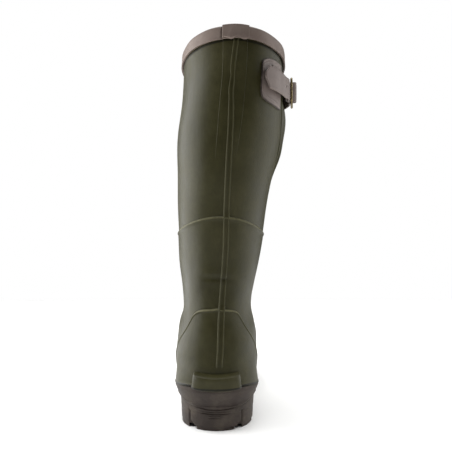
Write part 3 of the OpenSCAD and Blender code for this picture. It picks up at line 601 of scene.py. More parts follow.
def knitted(name, dark, light):
    """Knitted lining cloth over foam: wales of small loops 1.3 mm wide, in the piece's own UV map in mm."""
    f = Finish(name, Sheen_Weight=0.35, Sheen_Roughness=0.5, Specular_IOR_Level=0.25)
    u, v = f.axis(0, "UV"), f.axis(1, "UV")
    lean = (u * (2 * np.pi / 1.3)).wave()
    loops = ((v * (2 * np.pi / 1.0) + lean.size() * 2.2).wave() * 0.5 + 0.5) * (lean.size() * 0.7 + 0.3)
    fibre = f.noise(2.6, 4, 0.7, source="UV")
    pile = f.noise(30, 3, 0.6)
    colour = f.ramp(loops * 0.7 + fibre * 0.3, [(0.15, dark), (0.75, light)])
    colour = f.blend(pile.between(0.45, 0.75) * 0.3, colour, paint("#4b4c47"))
    return f.done(colour, fibre * 0.2 + 0.78, bumps=[(pile, 0.0006), (loops, 0.00028), (fibre, 0.0001)])


def felted(name, dark, light, speck):
    """Pressed fibre board or cork: short crossed fibres and darker specks."""
    f = Finish(name, Specular_IOR_Level=0.25)
    a, b = f.noise(420, 4, 0.7, (1, 0.15, 1)), f.noise(420, 4, 0.7, (0.15, 1, 1))
    grains = f.cells(380).between(0.15, 0.5)
    fibre = a * 0.5 + b * 0.5
    colour = f.blend(grains * 0.5, f.ramp(fibre, [(0.35, dark), (0.65, light)]), paint(speck))
    return f.done(colour, fibre * 0.2 + 0.72, bumps=[(fibre, 0.0002), (grains, -0.0001)])


def rolled_steel(name):
    """Rolled spring steel: long scratches and a thin bloom of oil and rust."""
    f = Finish(name)
    line = f.noise(700, 3, 0.6, (1, 0.04, 1))
    bloom = f.noise(60, 5, 0.65).between(0.55, 0.75)
    colour = f.blend(bloom * 0.6, f.ramp(line, [(0.3, "#7c7f82"), (0.7, "#b4b6b8")]), paint("#6b4a30"))
    rough = line * 0.2 + bloom * 0.35 + 0.22
    return f.done(colour, rough, 1.0 - bloom * 0.6, [(line, 0.00003), (bloom, 0.00008)])


def foam_bed(name):
    """Moulded foam footbed with a cloth top: a fine twill, small breathing holes in rows painted near black as shade
    inside them, and darker wear.
    """
    f = Finish(name, Sheen_Weight=0.25, Specular_IOR_Level=0.3)
    x, y = f.axis(0), f.axis(1)
    twill = ((x + y) * (2 * np.pi / 0.0014)).wave() * 0.5 + 0.5
    cross = ((x - y) * (2 * np.pi / 0.0022)).wave() * 0.5 + 0.5
    cloth = twill * 0.6 + cross * 0.4
    row = (x * (np.pi / 0.007)).wave().size() * (y * (np.pi / 0.007)).wave().size()
    holes = row.between(0.95, 0.985) * y.between(0.09, 0.12)
    wear = f.noise(28, 4, 0.6)
    colour = f.ramp(cloth * 0.5 + wear * 0.5, [(0.3, "#262724"), (0.7, "#4a4b45")])
    # painted shade in the breathing holes: near black where the holes are
    colour = f.blend(holes, colour, paint("#0b0b0a"))
    return f.done(colour, wear * 0.2 + 0.72, bumps=[(wear, 0.0005), (cloth, 0.00012), (holes, -0.0008)])


# upper: painted shade in the seam over the band and a painted shadow under the binding
OLIVE_MIX = {"dark": "#292713", "middle": "#32301a", "light": "#3e3b24", "low": 0.38, "high": 0.52, "dust": 0.12,
             "upper": True, "Specular_IOR_Level": 0.17}
STRAP_MIX = {"dark": "#5e534e", "middle": "#6e635e", "light": "#7d726c", "low": 0.38, "high": 0.52, "grain": 0.9,
             "dust": 0.1, "Specular_IOR_Level": 0.22}
OLIVE = moulded_rubber("olive rubber", **OLIVE_MIX)
# a painted highlight along the rims of the lapped edges and the seam bead, with some wear
LAPPED_PAINTED_HIGHLIGHT = moulded_rubber("olive rubber, lapped edge, painted highlight", rim=("#6b684c", 0.5, 1.7, 0.62), **OLIVE_MIX)
BEADED_PAINTED_HIGHLIGHT = moulded_rubber("olive rubber, seam bead, painted highlights", rim=("#6b684c", 0.5, 1.2, 0.2), **OLIVE_MIX)
BROWN = moulded_rubber("brown sole rubber", "#2c2622", "#38312d", "#473f3a", 0.46, 0.62, grain=1.5, dust=0.3,
                       Specular_IOR_Level=0.16)
TRIM = moulded_rubber("brown binding rubber", "#61544d", "#6f625b", "#7e7169", 0.40, 0.54, grain=0.8, dust=0.1,
                      Specular_IOR_Level=0.22)
STRAP_RUBBER = moulded_rubber("brown strap rubber", **STRAP_MIX)
# the patches get a dark line round their edges: painted shade where the edge meets the leg
PATCH_RUBBER_PAINTED_EDGE_SHADE = moulded_rubber("brown patch rubber, painted edge shade", rim=("#15110f", 0.0, 0.25, 0.85), **STRAP_MIX)
KNIT = knitted("knitted lining", "#15160f", "#34362c")
BOARD = felted("lasting board", "#6e5a40", "#a08a66", "#4c3d2a")
CORK = felted("heel core", "#8a6440", "#b98f5e", "#5a3d24")
STEEL = rolled_steel("shank steel")
FOAM = foam_bed("footbed foam")
BRASS = brass("antique brass")

# ---- leg and foot ----
LAP_BACK, LAP_SIDE = 218.0, 205.5


def lap_z(t):
    """Height of the foot rubber's edge: level over the front half, and an arch over the back."""
    return mix(LAP_BACK, LAP_SIDE, smooth(np.abs(around(t)) / 95))


def slit_t(edge, z):
    """Angle of a slit edge: it spreads from the slit's end towards edge at the top."""
    return mix(SLIT_END, edge, smooth((z - SLIT_BOTTOM) / SLIT_L * 0.85 + 0.06))


def leg_grid(off, rows=110, low=44, n=200):
    """Rings of the leg from 2.5 mm below the collar to under the foot rubber: rows of them stop at the slit's edges,
    and low of them go all the way round."""
    f = np.linspace(0, 1, n + 1)
    z1 = np.repeat(np.linspace(BOOT_H - 2.5, SLIT_BOTTOM, rows + 1)[:, None], n + 1, 1)
    t0, t1 = slit_t(SLIT_FRONT, z1) - 360, slit_t(SLIT_REAR, z1)
    t0[-1], t1[-1] = SLIT_END - 360, SLIT_END
    ta = mix(t0, t1, f)
    tb = np.repeat((SLIT_END - 360 + 360 * f)[None], low, 0)
    zb = mix(SLIT_BOTTOM, lap_z(tb) - 1.5, (np.arange(1, low + 1) / low)[:, None])
    return skin(leg_s(np.vstack([z1, zb])), np.vstack([ta, tb]), off)


solid("leg_rubber", leg_grid(0.0), leg_grid(-RUBBER), OLIVE, "olive_rubber", wrap=True, slit=110,
      stands_for="leg_shell", sharp=60)

FOOT_TOP = 0.95  # how far the foot rubber's face stands off the upper's surface
FOOT_S = np.r_[np.linspace(4.6, 13, 120)[3:], np.linspace(13, S_LAST, 91)[1:]]


def foot_grid(off_edge, off, n=220):
    """Rings of the foot from its lapped edge to the nose: the edge is rolled over 2 mm from off_edge to off, and has a
    raised lip on the outer face. The UV map is the place round the section and the distance from the edge, in mm."""
    t = np.linspace(0, 360, n + 1)
    edge = leg_s(lap_z(t))
    steps = np.r_[0, 0.12, 0.3, 0.55, 0.85, 1.2, 1.7, 2.4, 3.5, 5, 7]
    s_top = edge + steps[:, None] / STEP
    run = np.linspace(0, 1, 9)[1:-1, None]
    s_mid = mix(s_top[-1], 4.75, run)
    s = np.vstack([s_top, s_mid, np.repeat(FOOT_S[:, None], n + 1, 1)])
    tt = np.repeat(t[None], len(s), 0)
    rise = np.full(s.shape, off)
    lip = (off > 0) * 0.75 * bump((steps - 2.0) / 1.2)
    rise[: len(steps)] = (mix(off_edge, off, rolled(steps, 2.0)) + lip)[:, None]
    return skin(s, tt, rise), np.stack([tt * 1.05, (s - edge) * STEP], -1)


foot_outer, foot_uv = foot_grid(-0.3, FOOT_TOP)
solid("foot_rubber", foot_outer, foot_grid(-RUBBER, -RUBBER)[0], LAPPED_PAINTED_HIGHLIGHT, "olive_rubber", wrap=True, tip=True,
      uv=foot_uv, stands_for="foot_shell")


# ---- overlays ----
def overlay_piece(name, low_edge, high_edge, nv, nw, base, rise, stands_for, finish=LAPPED_PAINTED_HIGHLIGHT, slot="olive_rubber",
                  roll=1.3, dish=None, edge=0.05, tucked=False):
    """A patch of rubber on the upper between two curves v -> (s, t). Its height over the base is rise times a quarter
    circle at the edges; dish(distance to the edge, s, t) adds to it. Its UV map is the place along it and the distance
    to its edge, in mm; a tucked piece's low edge is under another piece and doesn't count."""
    v, w = crowded(nv, edge), crowded(nw, edge * 1.6)
    a, b = low_edge(v), high_edge(v)
    st = a[None] + (b - a)[None] * w[:, None, None]
    s, t = st[..., 0], st[..., 1]
    flat = skin(s, t, base)
    du, dv = edge_distance(flat)
    d = np.minimum(du, dv)
    height = base - 0.35 + (rise + 0.35) * rolled(d, roll)
    if dish is not None:
        height = height + dish(d, s, t)
    run = np.cumsum(np.r_[0, np.linalg.norm(np.diff(flat[:, flat.shape[1] // 2], axis=0), axis=1)])
    seen = np.where((w < 0.5)[:, None] & tucked, 99.0, dv if tucked else d)
    uv = np.stack([np.broadcast_to(run[:, None], d.shape), seen], -1)
    return solid(name, skin(s, t, height), skin(s, t, base - 0.8), finish, slot, uv=uv, stands_for=stands_for)


COUNTER_TOP = [[6.62, 0], [6.8, 30], [7.5, 45], [8.8, 64], [10.4, 71], [11.6, 70], [12.5, 63]]
COUNTER_LOW = [[10, 0], [10.05, 17], [10.3, 30], [10.85, 43], [11.4, 51], [12, 56.5], [12.5, 60]]


def mirrored(rows, v):
    """Curve through rows of (s, angle), run from one side to the other across the back."""
    w = 2 * v - 1
    p = spline(rows, np.abs(w) * 6)
    return np.stack([p[:, 0], p[:, 1] * np.sign(w)], -1)


def edge_line(s, t0, t1):
    """Curve v -> (s, t) from angle t0 to t1; s is a number or a function of v."""
    return lambda v: np.c_[s(v) if callable(s) else np.full(len(v), s), mix(t0, t1, v)]


overlay_piece("heel_counter_rubber", lambda v: mirrored(COUNTER_LOW, v), lambda v: mirrored(COUNTER_TOP, v), 190, 110,
              FOOT_TOP, 1.15, "heel_counter", roll=1.9, tucked=True, dish=lambda d, s, t: 0.65 * bump((d - 1.9) / 1.1))
overlay_piece("toe_cap_rubber", edge_line(S_LAST - 0.3, 74, 286),
              edge_line(lambda v: 18.6 + 0.5 * np.sin(np.pi * v), 74, 286), 150, 90, FOOT_TOP, 1.1, "toe_cap",
              tucked=True)
overlay_piece("instep_rubber", edge_line(lambda v: 14.2 - 1.2 * (2 * v - 1) ** 2, 126, 234),
              edge_line(lambda v: 5.4 + 1.2 * (2 * v - 1) ** 2, 146, 214), 110, 150, FOOT_TOP, 1.1, "instep_overlay")

# back strip: a flat tape below the binding's tab, with a pressed line inside each edge, fading out at its lower end
STRIP_LOW = 272.0
overlay_piece("back_strip_rubber", edge_line(leg_s(STRIP_LOW - 8), -10.8, 11.6),
              edge_line(leg_s(BOOT_H - BINDING_H + 1.5), -11.8, 13.4), 70, 120, 0.0, 0.66, "back_strip", OLIVE,
              roll=0.8, edge=0.03,
              dish=lambda d, s, t: -0.22 * bump((d - 1.6) / 0.5) - 0.66 * smooth((s - leg_s(STRIP_LOW + 30)) / 0.8))


BEAD_Z = [60, 84, 138, 185, 231, 268, 306, 333, 354, 372, 387]
BEAD_T = [3.8, 5.6, 7.6, 7.4, 6.3, 4.3, 1.6, -0.4, -1.2, 0.2, 2.0]


def bead_x(z):
    """Angle of the bead's middle at a height: it wanders, as a seam put on by hand does."""
    z_even = np.linspace(60, 387, 200)
    k = np.interp(z_even, BEAD_Z, np.arange(len(BEAD_Z)))
    return np.interp(z, z_even, spline(np.array(BEAD_T)[:, None], k)[:, 0])


def back_bead():
    """The seam bead: a band 6.6 mm wide with a rounded rim along each edge and a shallow channel between, narrower and
    rounder at the top, with a small crimp at the strap's height. It is a profile carried down the back line."""
    z_rows = np.r_[np.linspace(BOOT_H - BINDING_H + 1, 150, 190), np.linspace(149, 64, 80)]
    s = np.interp(-z_rows, -section_point(np.linspace(0, 10, 800), 0.0)[:, 2], np.linspace(0, 10, 800))
    across = np.linspace(-1, 1, 33)
    top = smooth((z_rows - 300) / 60)
    half = mix(3.3, 2.9, top) * (1 - 0.16 * bump((z_rows - 352) / 4)) * (1 - 0.1 * bump((z_rows - 330) / 5))
    drift = 0.55 * bump((z_rows - 350) / 7) - 0.5 * bump((z_rows - 336) / 8) + 0.25 * np.sin(z_rows / 23)
    half_w = np.interp(s, np.arange(len(SECTIONS)), SECTIONS[:, 4])
    t = bead_x(z_rows)[:, None] + np.degrees((across[None] * half[:, None] + drift[:, None]) / half_w[:, None])
    rim = 1.05 * bump((np.abs(across) - 0.72) / 0.20)[None] * mix(1.0, 0.75, top)[:, None]
    crown = np.clip(1 - np.abs(across) ** 5, 0, 1)[None]
    base = mix(FOOT_TOP - 0.1, 0.35, smooth((z_rows - 217) / 5)) + 1.15 * (1 - smooth((z_rows - 124) / 4))
    fade = smooth((z_rows - 64) / 6)
    lift = crown * (0.62 + rim) * fade[:, None] * (1 - 0.3 * bump((z_rows - 352) / 2.2))[:, None]
    lift = lift + 0.35 * crown * top[:, None] * bump((across[None] + 0.25) / 0.5)
    ss = np.repeat(s[:, None], 33, 1)
    uv = np.stack([np.broadcast_to(-z_rows[:, None], t.shape), (1 - np.abs(across))[None] * half[:, None]], -1)
    solid("back_seam_bead", skin(ss, t, base[:, None] + lift - 0.15), skin(ss, t, base[:, None] - 0.9), BEADED_PAINTED_HIGHLIGHT,
          "olive_rubber", uv=uv, stands_for="back_bead")


back_bead()


def kick_ledge():
    """The ledge for taking the boot off: rows of a profile (height, how far out) carried round the heel, drawn in by a
    cube law towards its ends, with hollow upper, lower and back faces."""
    h = np.array([61.4, 61.2, 60.9, 60.2, 59.5, 58.9, 58.2, 57.2, 52, 47.4, 46.4, 45.7, 45.3])
    out = np.array([0.2, 1.6, 3.2, 5.9, 7.6, 8.3, 8.7, 8.9, 9.1, 9.1, 8.9, 8.2, 6.8])
    k = np.linspace(0, len(h) - 1, 70)
    rows = spline(np.c_[h, out], k)
    w = np.linspace(-1, 1, 121)
    t = 1.0 + 26.0 * w
    s = np.interp(rows[:, 0], [42, 63.5], [10.04, 8.93])[:, None]
    p = skin(s, t, FOOT_TOP + 0.9)
    ends = np.sqrt(np.clip(1 - np.abs(w) ** 14, 0, 1))
    d = rows[:, 1:] * (1 - 0.22 * np.abs(w) ** 3)[None] * ends[None]
    hollow = (1.8 * smooth((rows[:, :1] - 52) / 6) + 1.5 * (1 - smooth((rows[:, :1] - 45) / 5))) * (1 - w**2)
    d = d - 0.25 * bump((rows[:, :1] - 49) / 3.5)
    r = np.radians(t)
    q = p + np.stack([d * np.sin(r), -d * np.cos(r), np.zeros_like(d)], -1)
    q[..., 2] = rows[:, :1] - hollow
    base = skin(s, t, FOOT_TOP + 0.1)
    base[..., 2] = q[..., 2]
    solid("kick_ledge_rubber", q, base, OLIVE, "olive_rubber", stands_for="kick_ledge")


kick_ledge()


# ---- collar ----
def binding():
    """The collar's binding: a U-shaped profile over the rubber and the lining, carried round the collar. It waves
    a little, and has a narrow gap where its ends meet at the back."""
    t = np.unique(np.r_[np.linspace(0, 360, 300, endpoint=False), np.linspace(344.5, 349.5, 44)])
    inside = LINING + RUBBER + LINING_GAP
    o, i, b = SKIN_GAP + BINDING_T, inside + SKIN_GAP + BINDING_T, BINDING_H
    key = np.array([
        [SKIN_GAP - 0.3, -b + 0.3], [SKIN_GAP + 0.5, -b], [o + 0.3, -b - 0.1], [o + 0.55, -b + 0.5], [o + 0.1, -b / 2],
        [o, -2.4], [o - 0.35, -1.1], [o - 1.3, -0.25], [0, 0], [-inside * 0.5, 0.1], [-inside, 0], [-i + 1.1, -0.3],
        [-i + 0.25, -1.2], [-i, -2.6], [-i, -b + 0.6], [-i + 0.3, -b], [-i + BINDING_T, -b], [-i + BINDING_T, -3.2],
        [-inside * 0.5, -2.0], [SKIN_GAP - 0.3, -2.3]])
    prof = spline(np.vstack([key, key[:1]]), np.linspace(0, len(key), 76, endpoint=False))
    d = around(t, -12.9)
    gap = 1.5 * bump(d / 0.42) + 0.3 * bump(d / 1.6)
    wave = 0.22 * np.sin(np.radians(7 * t)) + 0.15 * np.sin(np.radians(13 * t + 40))
    outside = smooth((prof[:, 0] + 0.5) / 1.2)
    off = prof[:, :1] + outside[:, None] * (wave - gap)[None]
    z = BOOT_H + prof[:, 1:] + 0.25 * np.sin(np.radians(5 * t + 30))[None] * (prof[:, 1:] / -b)
    rings = skin(leg_s(z), np.broadcast_to(t, z.shape), off)
    loft("collar_binding", rings, TRIM, "binding", ends=False, stands_for="top_binding")


binding()


def tab_folds(d, s, t):
    """Two slanting folds and a hollow across the tab, fading out at its edges."""
    folds = 0.34 * bump((t + 3.2 + (s - 0.15) * 16) / 1.3) + 0.26 * bump((t - 0.6 + (s - 0.1) * 22) / 1.1)
    return (folds - 0.2 * bump((t - 5.5) / 1.5)) * smooth(d / 1.6)


overlay_piece("binding_tab_fold", edge_line(lambda v: leg_s(387.0 + 0.9 * np.cos(v * 13 - 1.2)), -12.1, 14.1),
              edge_line(lambda v: leg_s(400.1 + 0.35 * np.sin(np.pi * v)), -12.1, 14.1), 90, 60,
              SKIN_GAP + BINDING_T - 0.15, 1.25, "binding_tab", TRIM, "binding", roll=0.9, dish=tab_folds)


def gusset():
    """The thin panel in the slit: it comes from under both slit edges and bulges out in two pleats, pinched flat by
    the strap and narrowing to the slit's end."""
    v, w = np.linspace(0, 1, 61), np.linspace(0, 1, 150)
    z = mix(BOOT_H - 3, SLIT_BOTTOM + 4, w)[:, None]
    t = mix(slit_t(SLIT_REAR, z) - 0.2, slit_t(SLIT_FRONT, z) + 0.2, v[None])
    pinch = 1 - 0.75 * bump((z - STRAP_Z) / 15)
    room = smooth((BOOT_H - BINDING_H - 1 - z) / 22) * smooth((z - SLIT_BOTTOM) / 50)
    pleats = 0.55 + 0.45 * np.cos(4 * np.pi * v[None] - 0.4)
    lift = 4.6 * np.sin(np.pi * v[None]) ** 0.7 * pinch * room * mix(1, pleats, 0.75)
    sag = 0.35 * np.sin(z / 6.5 + 3 * v[None]) * np.sin(np.pi * v[None]) * room
    off = -1.9 + 1.3 * smooth(np.minimum(v, 1 - v)[None] / 0.05) + lift + sag
    s = np.broadcast_to(leg_s(z), t.shape)
    solid("gusset_panel_rubber", skin(s, t, off), skin(s, t, off - 0.95), OLIVE, "olive_rubber",
          stands_for="gusset_panel")


gusset()


# ---- lining ----
def lining(name, s0, s1, rows, node, tip=False):
    """Inner cloth: rings of the upper moved in past the rubber, with its UV map in mm round and along."""
    tt, ss = np.meshgrid(np.linspace(0, 360, 201), np.linspace(s0, s1, rows))
    a, b = skin(ss, tt, -RUBBER - LINING_GAP), skin(ss, tt, -RUBBER - LINING_GAP - LINING)
    ring = np.cumsum(np.r_[0, np.linalg.norm(np.diff(b[0], axis=0), axis=1)])
    along = np.cumsum(np.r_[0, np.linalg.norm(np.diff(b[:, 0], axis=0), axis=1)])
    uv = np.stack(np.broadcast_arrays(ring[None], along[:, None]), -1)
    solid(name, a, b, KNIT, "lining", wrap=True, tip=tip, uv=uv, stands_for=node)


lining("leg_lining_cloth", leg_s(BOOT_H - 3.4), 5.38, 110, "leg_lining")
lining("foot_lining_cloth", 5.4, 21.8, 150, "foot_lining", tip=True)


# ---- strap and buckle ----
BUCKLE_ANGLE, BAR_AT = np.radians(80), np.array([82.8, -2.6])
AXIS_U = np.array([np.cos(BUCKLE_ANGLE), np.sin(BUCKLE_ANGLE)])
AXIS_V = np.array([np.sin(BUCKLE_ANGLE), -np.cos(BUCKLE_ANGLE)])
CHAPE_T = 1.6
LOOP_IN = BAR_D / 2 + 0.08
LOOP_OUT = LOOP_IN + CHAPE_T
HUMP_V, UNDER_V = LOOP_OUT + 0.5 + STRAP_T / 2, -FRAME_T / 2 - 0.9 - STRAP_T / 2
PATCH_OUT = 0.3 + PATCH_T
CHAPE_MID = PATCH_OUT + SKIN_GAP + CHAPE_T / 2
CHAPE_V = UNDER_V - STRAP_T / 2 - 0.3 - CHAPE_T / 2
TAIL_MID = CHAPE_MID + CHAPE_T / 2 + SKIN_GAP + STRAP_T / 2


def at(u, v):
    """Points u along the buckle and v outwards from its bar, seen from above."""
    return BAR_AT + np.asarray(u, float)[..., None] * AXIS_U + np.asarray(v, float)[..., None] * AXIS_V


def on_leg(t, off):
    """Point off outside the leg at the strap's height, seen from above."""
    return skin(leg_s(STRAP_Z), float(t), off)[:2]


def eased(points, n):
    """n points evenly along the smooth curve through the points."""
    p = spline(points, np.linspace(0, len(points) - 1, 600))
    run = np.r_[0, np.cumsum(np.linalg.norm(np.diff(p, axis=0), axis=1))]
    k = np.linspace(0, run[-1], n)
    return np.stack([np.interp(k, run, p[:, i]) for i in range(p.shape[1])], -1), run[-1]


def section_ring(n, square):
    """A closed superellipse of unit half sizes: |a|^square + |b|^square = 1."""
    a = np.linspace(0, 2 * np.pi, n, endpoint=False)
    return power(np.cos(a), 2 / square), power(np.sin(a), 2 / square)


def ribbon(name, points, width, thick, stands_for, lift, n, taper=None, rib=0.0, **more):
    """A flat strap-rubber band carried along a line seen from above: a superellipse section whose width follows
    taper(share, length) and whose middle height follows lift(share). rib presses a line 2.2 mm inside each edge of its
    outer face."""
    line, length = eased(points, n)
    d = unit(np.gradient(line, axis=0))
    out = np.stack([d[:, 1], -d[:, 0]], -1)
    f = np.linspace(0, 1, n)
    w = np.full(n, width / 2) if taper is None else taper(f, length) * width / 2
    a, b = section_ring(72, 6.0)
    z = STRAP_Z + (lift(f) if callable(lift) else np.full(n, lift))
    press = rib * bump((np.abs(a[None] * w[:, None]) - w[:, None] + 2.2) / 0.5) * (b > 0.3)
    end = np.minimum(f, 1 - f) * length
    close = mix(0.35, 1, rolled(end, thick * 0.6))[:, None]
    v = b[None] * thick / 2 * close - press
    rings = np.stack([line[:, :1] + out[:, :1] * v, line[:, 1:] + out[:, 1:] * v, z[:, None] + a[None] * w[:, None]],
                     -1)
    return loft(name, rings, STRAP_RUBBER, "strap_rubber", stands_for=stands_for, **more)


PATCH_TOP = [[29, 7], [31, 12], [37, 15.5], [45, 17], [53, 17.5], [60, 18]]
PATCH_LOW = [[29, -19], [31, -24], [37, -27], [45, -28], [53, -28.5], [60, -28.5]]


def patch_edge(rows, front):
    """A patch's edge curve; the front patch mirrors the rear one about 86 degrees."""
    def curve(v):
        p = spline(rows, (1 - v if front else v) * 5)
        return np.c_[leg_s(p[:, 1] + STRAP_Z), 172 - p[:, 0] if front else p[:, 0]]
    return curve


def patch_dish(d, s, t):
    """A pressed line inside the rim and a shallow hollow within it."""
    return -0.35 * bump((d - 2.6) / 0.5) - 0.45 * smooth((d - 3.2) / 3)


for place, front in (("rear", False), ("front", True)):
    overlay_piece(f"strap_patch_{place}_rubber", patch_edge(PATCH_LOW, front), patch_edge(PATCH_TOP, front), 90, 90,
                  0.25, PATCH_T + 0.25, f"strap_patch_{place}", PATCH_RUBBER_PAINTED_EDGE_SHADE, "strap_rubber", roll=1.0, dish=patch_dish,
                  edge=0.08)

STRAP_LINE = [
    at(-RAIL_U - 2.6, UNDER_V), at(-RAIL_U, UNDER_V), at(-8, UNDER_V + 0.4), at(-5.6, -0.6), at(-3.2, 3.1),
    at(0, HUMP_V), at(3.2, 3.1), at(5.6, -0.6), at(8, UNDER_V + 0.4), at(RAIL_U, UNDER_V),
    at(RAIL_U + 5, UNDER_V - 0.4), on_leg(108, 5.2), *(on_leg(t, CHAPE_MID + 1.1) for t in (117, 125, 134))]
TAIL_LINE = [
    at(-RAIL_U - 1.8, UNDER_V), at(-RAIL_U - 5.5, UNDER_V + 0.1), at(-RAIL_U - 10, UNDER_V + 0.4),
    *(on_leg(t, TAIL_MID + rise) for t, rise in ((55, 0.9), (48, 0.5), (40, 0.7), (28.6, 1.3)))]


def hole_cut(piece, place, out, z, half, reach=0.0, n=28):
    """Cuts one slot through a band with the exact Boolean: a prism of n sides about a point seen from above, along the
    outward direction, with round ends of radius half, each moved out by reach."""
    a = np.linspace(0, 2 * np.pi, n, endpoint=False)
    p, q = np.cos(a) * half + np.sign(np.cos(a)) * reach, np.sin(a) * half
    points = np.vstack([np.c_[place[0] - out[1] * p + out[0] * depth, place[1] + out[0] * p + out[1] * depth, z + q]
                        for depth in (-4, 4)])
    mesh = bpy.data.meshes.new("hole")
    faces = [*grid_faces(2, n, wrap=True).tolist(), list(range(n)), list(range(n, 2 * n))]
    mesh.from_pydata((points * MM).tolist(), [], faces)
    bm = bmesh.new()
    bm.from_mesh(mesh)
    bmesh.ops.recalc_face_normals(bm, faces=bm.faces)
    bm.to_mesh(mesh)
    bm.free()
    tool = placed("hole", mesh)
    m = piece.modifiers.new("hole", "BOOLEAN")
    m.operation, m.solver, m.object = "DIFFERENCE", "EXACT", tool
    bpy.context.view_layer.update()
    cut = bpy.data.meshes.new_from_object(piece.evaluated_get(bpy.context.evaluated_depsgraph_get()))
    piece.modifiers.clear()
    piece.data = cut
    cut.materials.clear()
    cut.materials.append(STRAP_RUBBER)
    bpy.data.objects.remove(tool)


def strap_lift(f):
    """The strap climbs from the rail to the front patch."""
    return mix(-2.0, 2.0, smooth(f / 0.32))


def tail_lift(f):
    """The tail drops as it leaves the buckle, and its tip turns up a little."""
    return -2.2 - 3.7 * smooth(f / 0.42) + 0.5 * smooth((f - 0.84) / 0.16)


def tail_taper(f, length):
    """The tail's tip: straight cuts over its last 6 mm down to a sixth of the width."""
    return mix(0.16, 1, np.clip((1 - f) * length / 6.0, 0, 1))


strap = ribbon("strap_rubber_band", STRAP_LINE, STRAP_W, STRAP_T, "strap", strap_lift, 260, rib=0.2)
hole_cut(strap, at(6.2, 0.5), AXIS_V, STRAP_Z + 0.6, 2.0, 2.6)
tail = ribbon("strap_tail_band", TAIL_LINE, STRAP_W, STRAP_T, "strap_tail", tail_lift, 170, taper=tail_taper,
              apart=True)
hole_line = eased(TAIL_LINE, 200)[0]
hole_way = unit(hole_line[70] - hole_line[66])
hole_cut(tail, hole_line[68], (hole_way[1], -hole_way[0]), STRAP_Z - 4.6, 0.95)
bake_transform(tail)


def chape():
    """The folded end that holds the bar: a band from the rear patch to the bar, then round it on a circle."""
    r = LOOP_IN + CHAPE_T / 2
    a = np.radians([50, 90, 130, 170, 205, 235])
    line = [on_leg(40, CHAPE_MID + 0.1), on_leg(47, CHAPE_MID + 0.1), on_leg(54, CHAPE_MID + 0.5),
            at(-RAIL_U - 6, CHAPE_V - 0.3), at(-RAIL_U, CHAPE_V - 0.2), at(-6.5, CHAPE_V), at(-3.4, -LOOP_OUT - 0.5),
            at(-1.2, -r - 0.1), at(0.6, -r), *at(r * np.sin(a), -r * np.cos(a))]
    piece = ribbon("buckle_chape_fold", line, STRAP_W - 2, CHAPE_T, "buckle_chape", -0.6, 220)
    hole_cut(piece, at(2.2, 0), AXIS_V, STRAP_Z, 2.2, 1.6)


chape()


def sweep(name, path, radius, stands_for, body, closed=False, flat=1.0, n=20):
    """A round brass bar of changing radius along a path, its section squeezed by flat across the path's plane."""
    path, radius = np.asarray(path, float), np.asarray(radius, float)
    d = unit(np.roll(path, -1, 0) - np.roll(path, 1, 0)) if closed else unit(np.gradient(path, axis=0))
    side = np.r_[AXIS_V, 0.0]
    side = unit(side[None] - (d @ side)[:, None] * d)
    up = np.cross(d, side)
    a = np.linspace(0, 2 * np.pi, n, endpoint=False)
    r = np.broadcast_to(radius, (len(path),))[:, None, None]
    a = a[None, :, None]
    rings = path[:, None] + r * (np.cos(a) * side[:, None] * flat + np.sin(a) * up[:, None])
    return loft(name, rings, BRASS, "antique_brass", ends=not closed, stands_for=stands_for, body=body)


def buckle():
    """A rectangular frame with rounded corners, its bar, and the prong: a needle bowed by half a sine, and an eye that
    is a flat ring round the bar."""
    half_u, half_z, corner, needle_v, eye_r = RAIL_U, STRAP_W / 2 + 0.8 + FRAME_T / 2, 3.4, 2.35, 2.0
    a = np.radians(np.linspace(0, 90, 12))
    arcs = []
    for k, (su, sz) in enumerate(((1, 1), (-1, 1), (-1, -1), (1, -1))):
        u, z = corner * np.cos(a + k * np.pi / 2), corner * np.sin(a + k * np.pi / 2)
        arcs.append(np.c_[su * (half_u - corner) + u, sz * (half_z - corner) + z])
    loop = np.vstack([*arcs, arcs[0][:1]])
    run = np.r_[0, np.cumsum(np.linalg.norm(np.diff(loop, axis=0), axis=1))]
    k = np.linspace(0, run[-1], 240, endpoint=False)
    u, z = np.interp(k, run, loop[:, 0]), np.interp(k, run, loop[:, 1])
    thick = FRAME_T / 2 * (1 + 0.05 * np.abs(np.cos(2 * np.pi * k / run[-1])))
    sweep("buckle_frame_cast", np.c_[at(u, 0 * u), STRAP_Z + z], thick * 0.99, "buckle_frame", "buckle_frame",
          closed=True)
    h = np.linspace(-half_z, half_z, 60)
    sweep("buckle_bar_pin", np.c_[at(0 * h, 0 * h), STRAP_Z + h], BAR_D / 2 * 0.985, "buckle_bar", "buckle_frame")
    share = np.linspace(0, 1, 40)
    reach = mix(1.9, RAIL_U + 1.9, share)
    needle = at(reach, needle_v + 0.6 * np.sin(np.pi * share) - 0.3 + 0.02 * reach)
    point = np.sqrt(np.clip(1 - ((share - 0.94) / 0.06).clip(0) ** 2, 0.05, 1))
    sweep("buckle_prong_needle", np.c_[needle, np.full(40, STRAP_Z)], mix(1.05, 0.7, share) * point, "buckle_prong",
          "buckle_prong", flat=0.9)
    x = np.linspace(0, 2 * np.pi, 40, endpoint=False)
    a, b = section_ring(20, 3)
    way = at(np.cos(x), np.sin(x)) - BAR_AT
    eye = BAR_AT + way[:, None] * (eye_r + 0.68 * a)[None, :, None]
    rings = np.concatenate([eye, STRAP_Z + 1.45 * np.broadcast_to(b[None, :, None], (40, 20, 1))], -1)
    loft("buckle_prong_eye", rings, BRASS, "antique_brass", ends=False, body="buckle_prong")


buckle()


# ---- sole ----
def cup_line(y):
    """Height of the cup's lower edge: 23.5 at the back, 31 at the sides of the heel, then down to the welt."""
    return mix(mix(23.6, 31.0, smooth((y + 43) / 36)), seat_z(y) - 2.0, smooth((y - 18) / 60))


def band_top(y):
    """Height of the brown band's top: a little higher at the back."""
    return band_z(y) + 4.6 * (1 - smooth((y + 44) / 40)) + 0.6


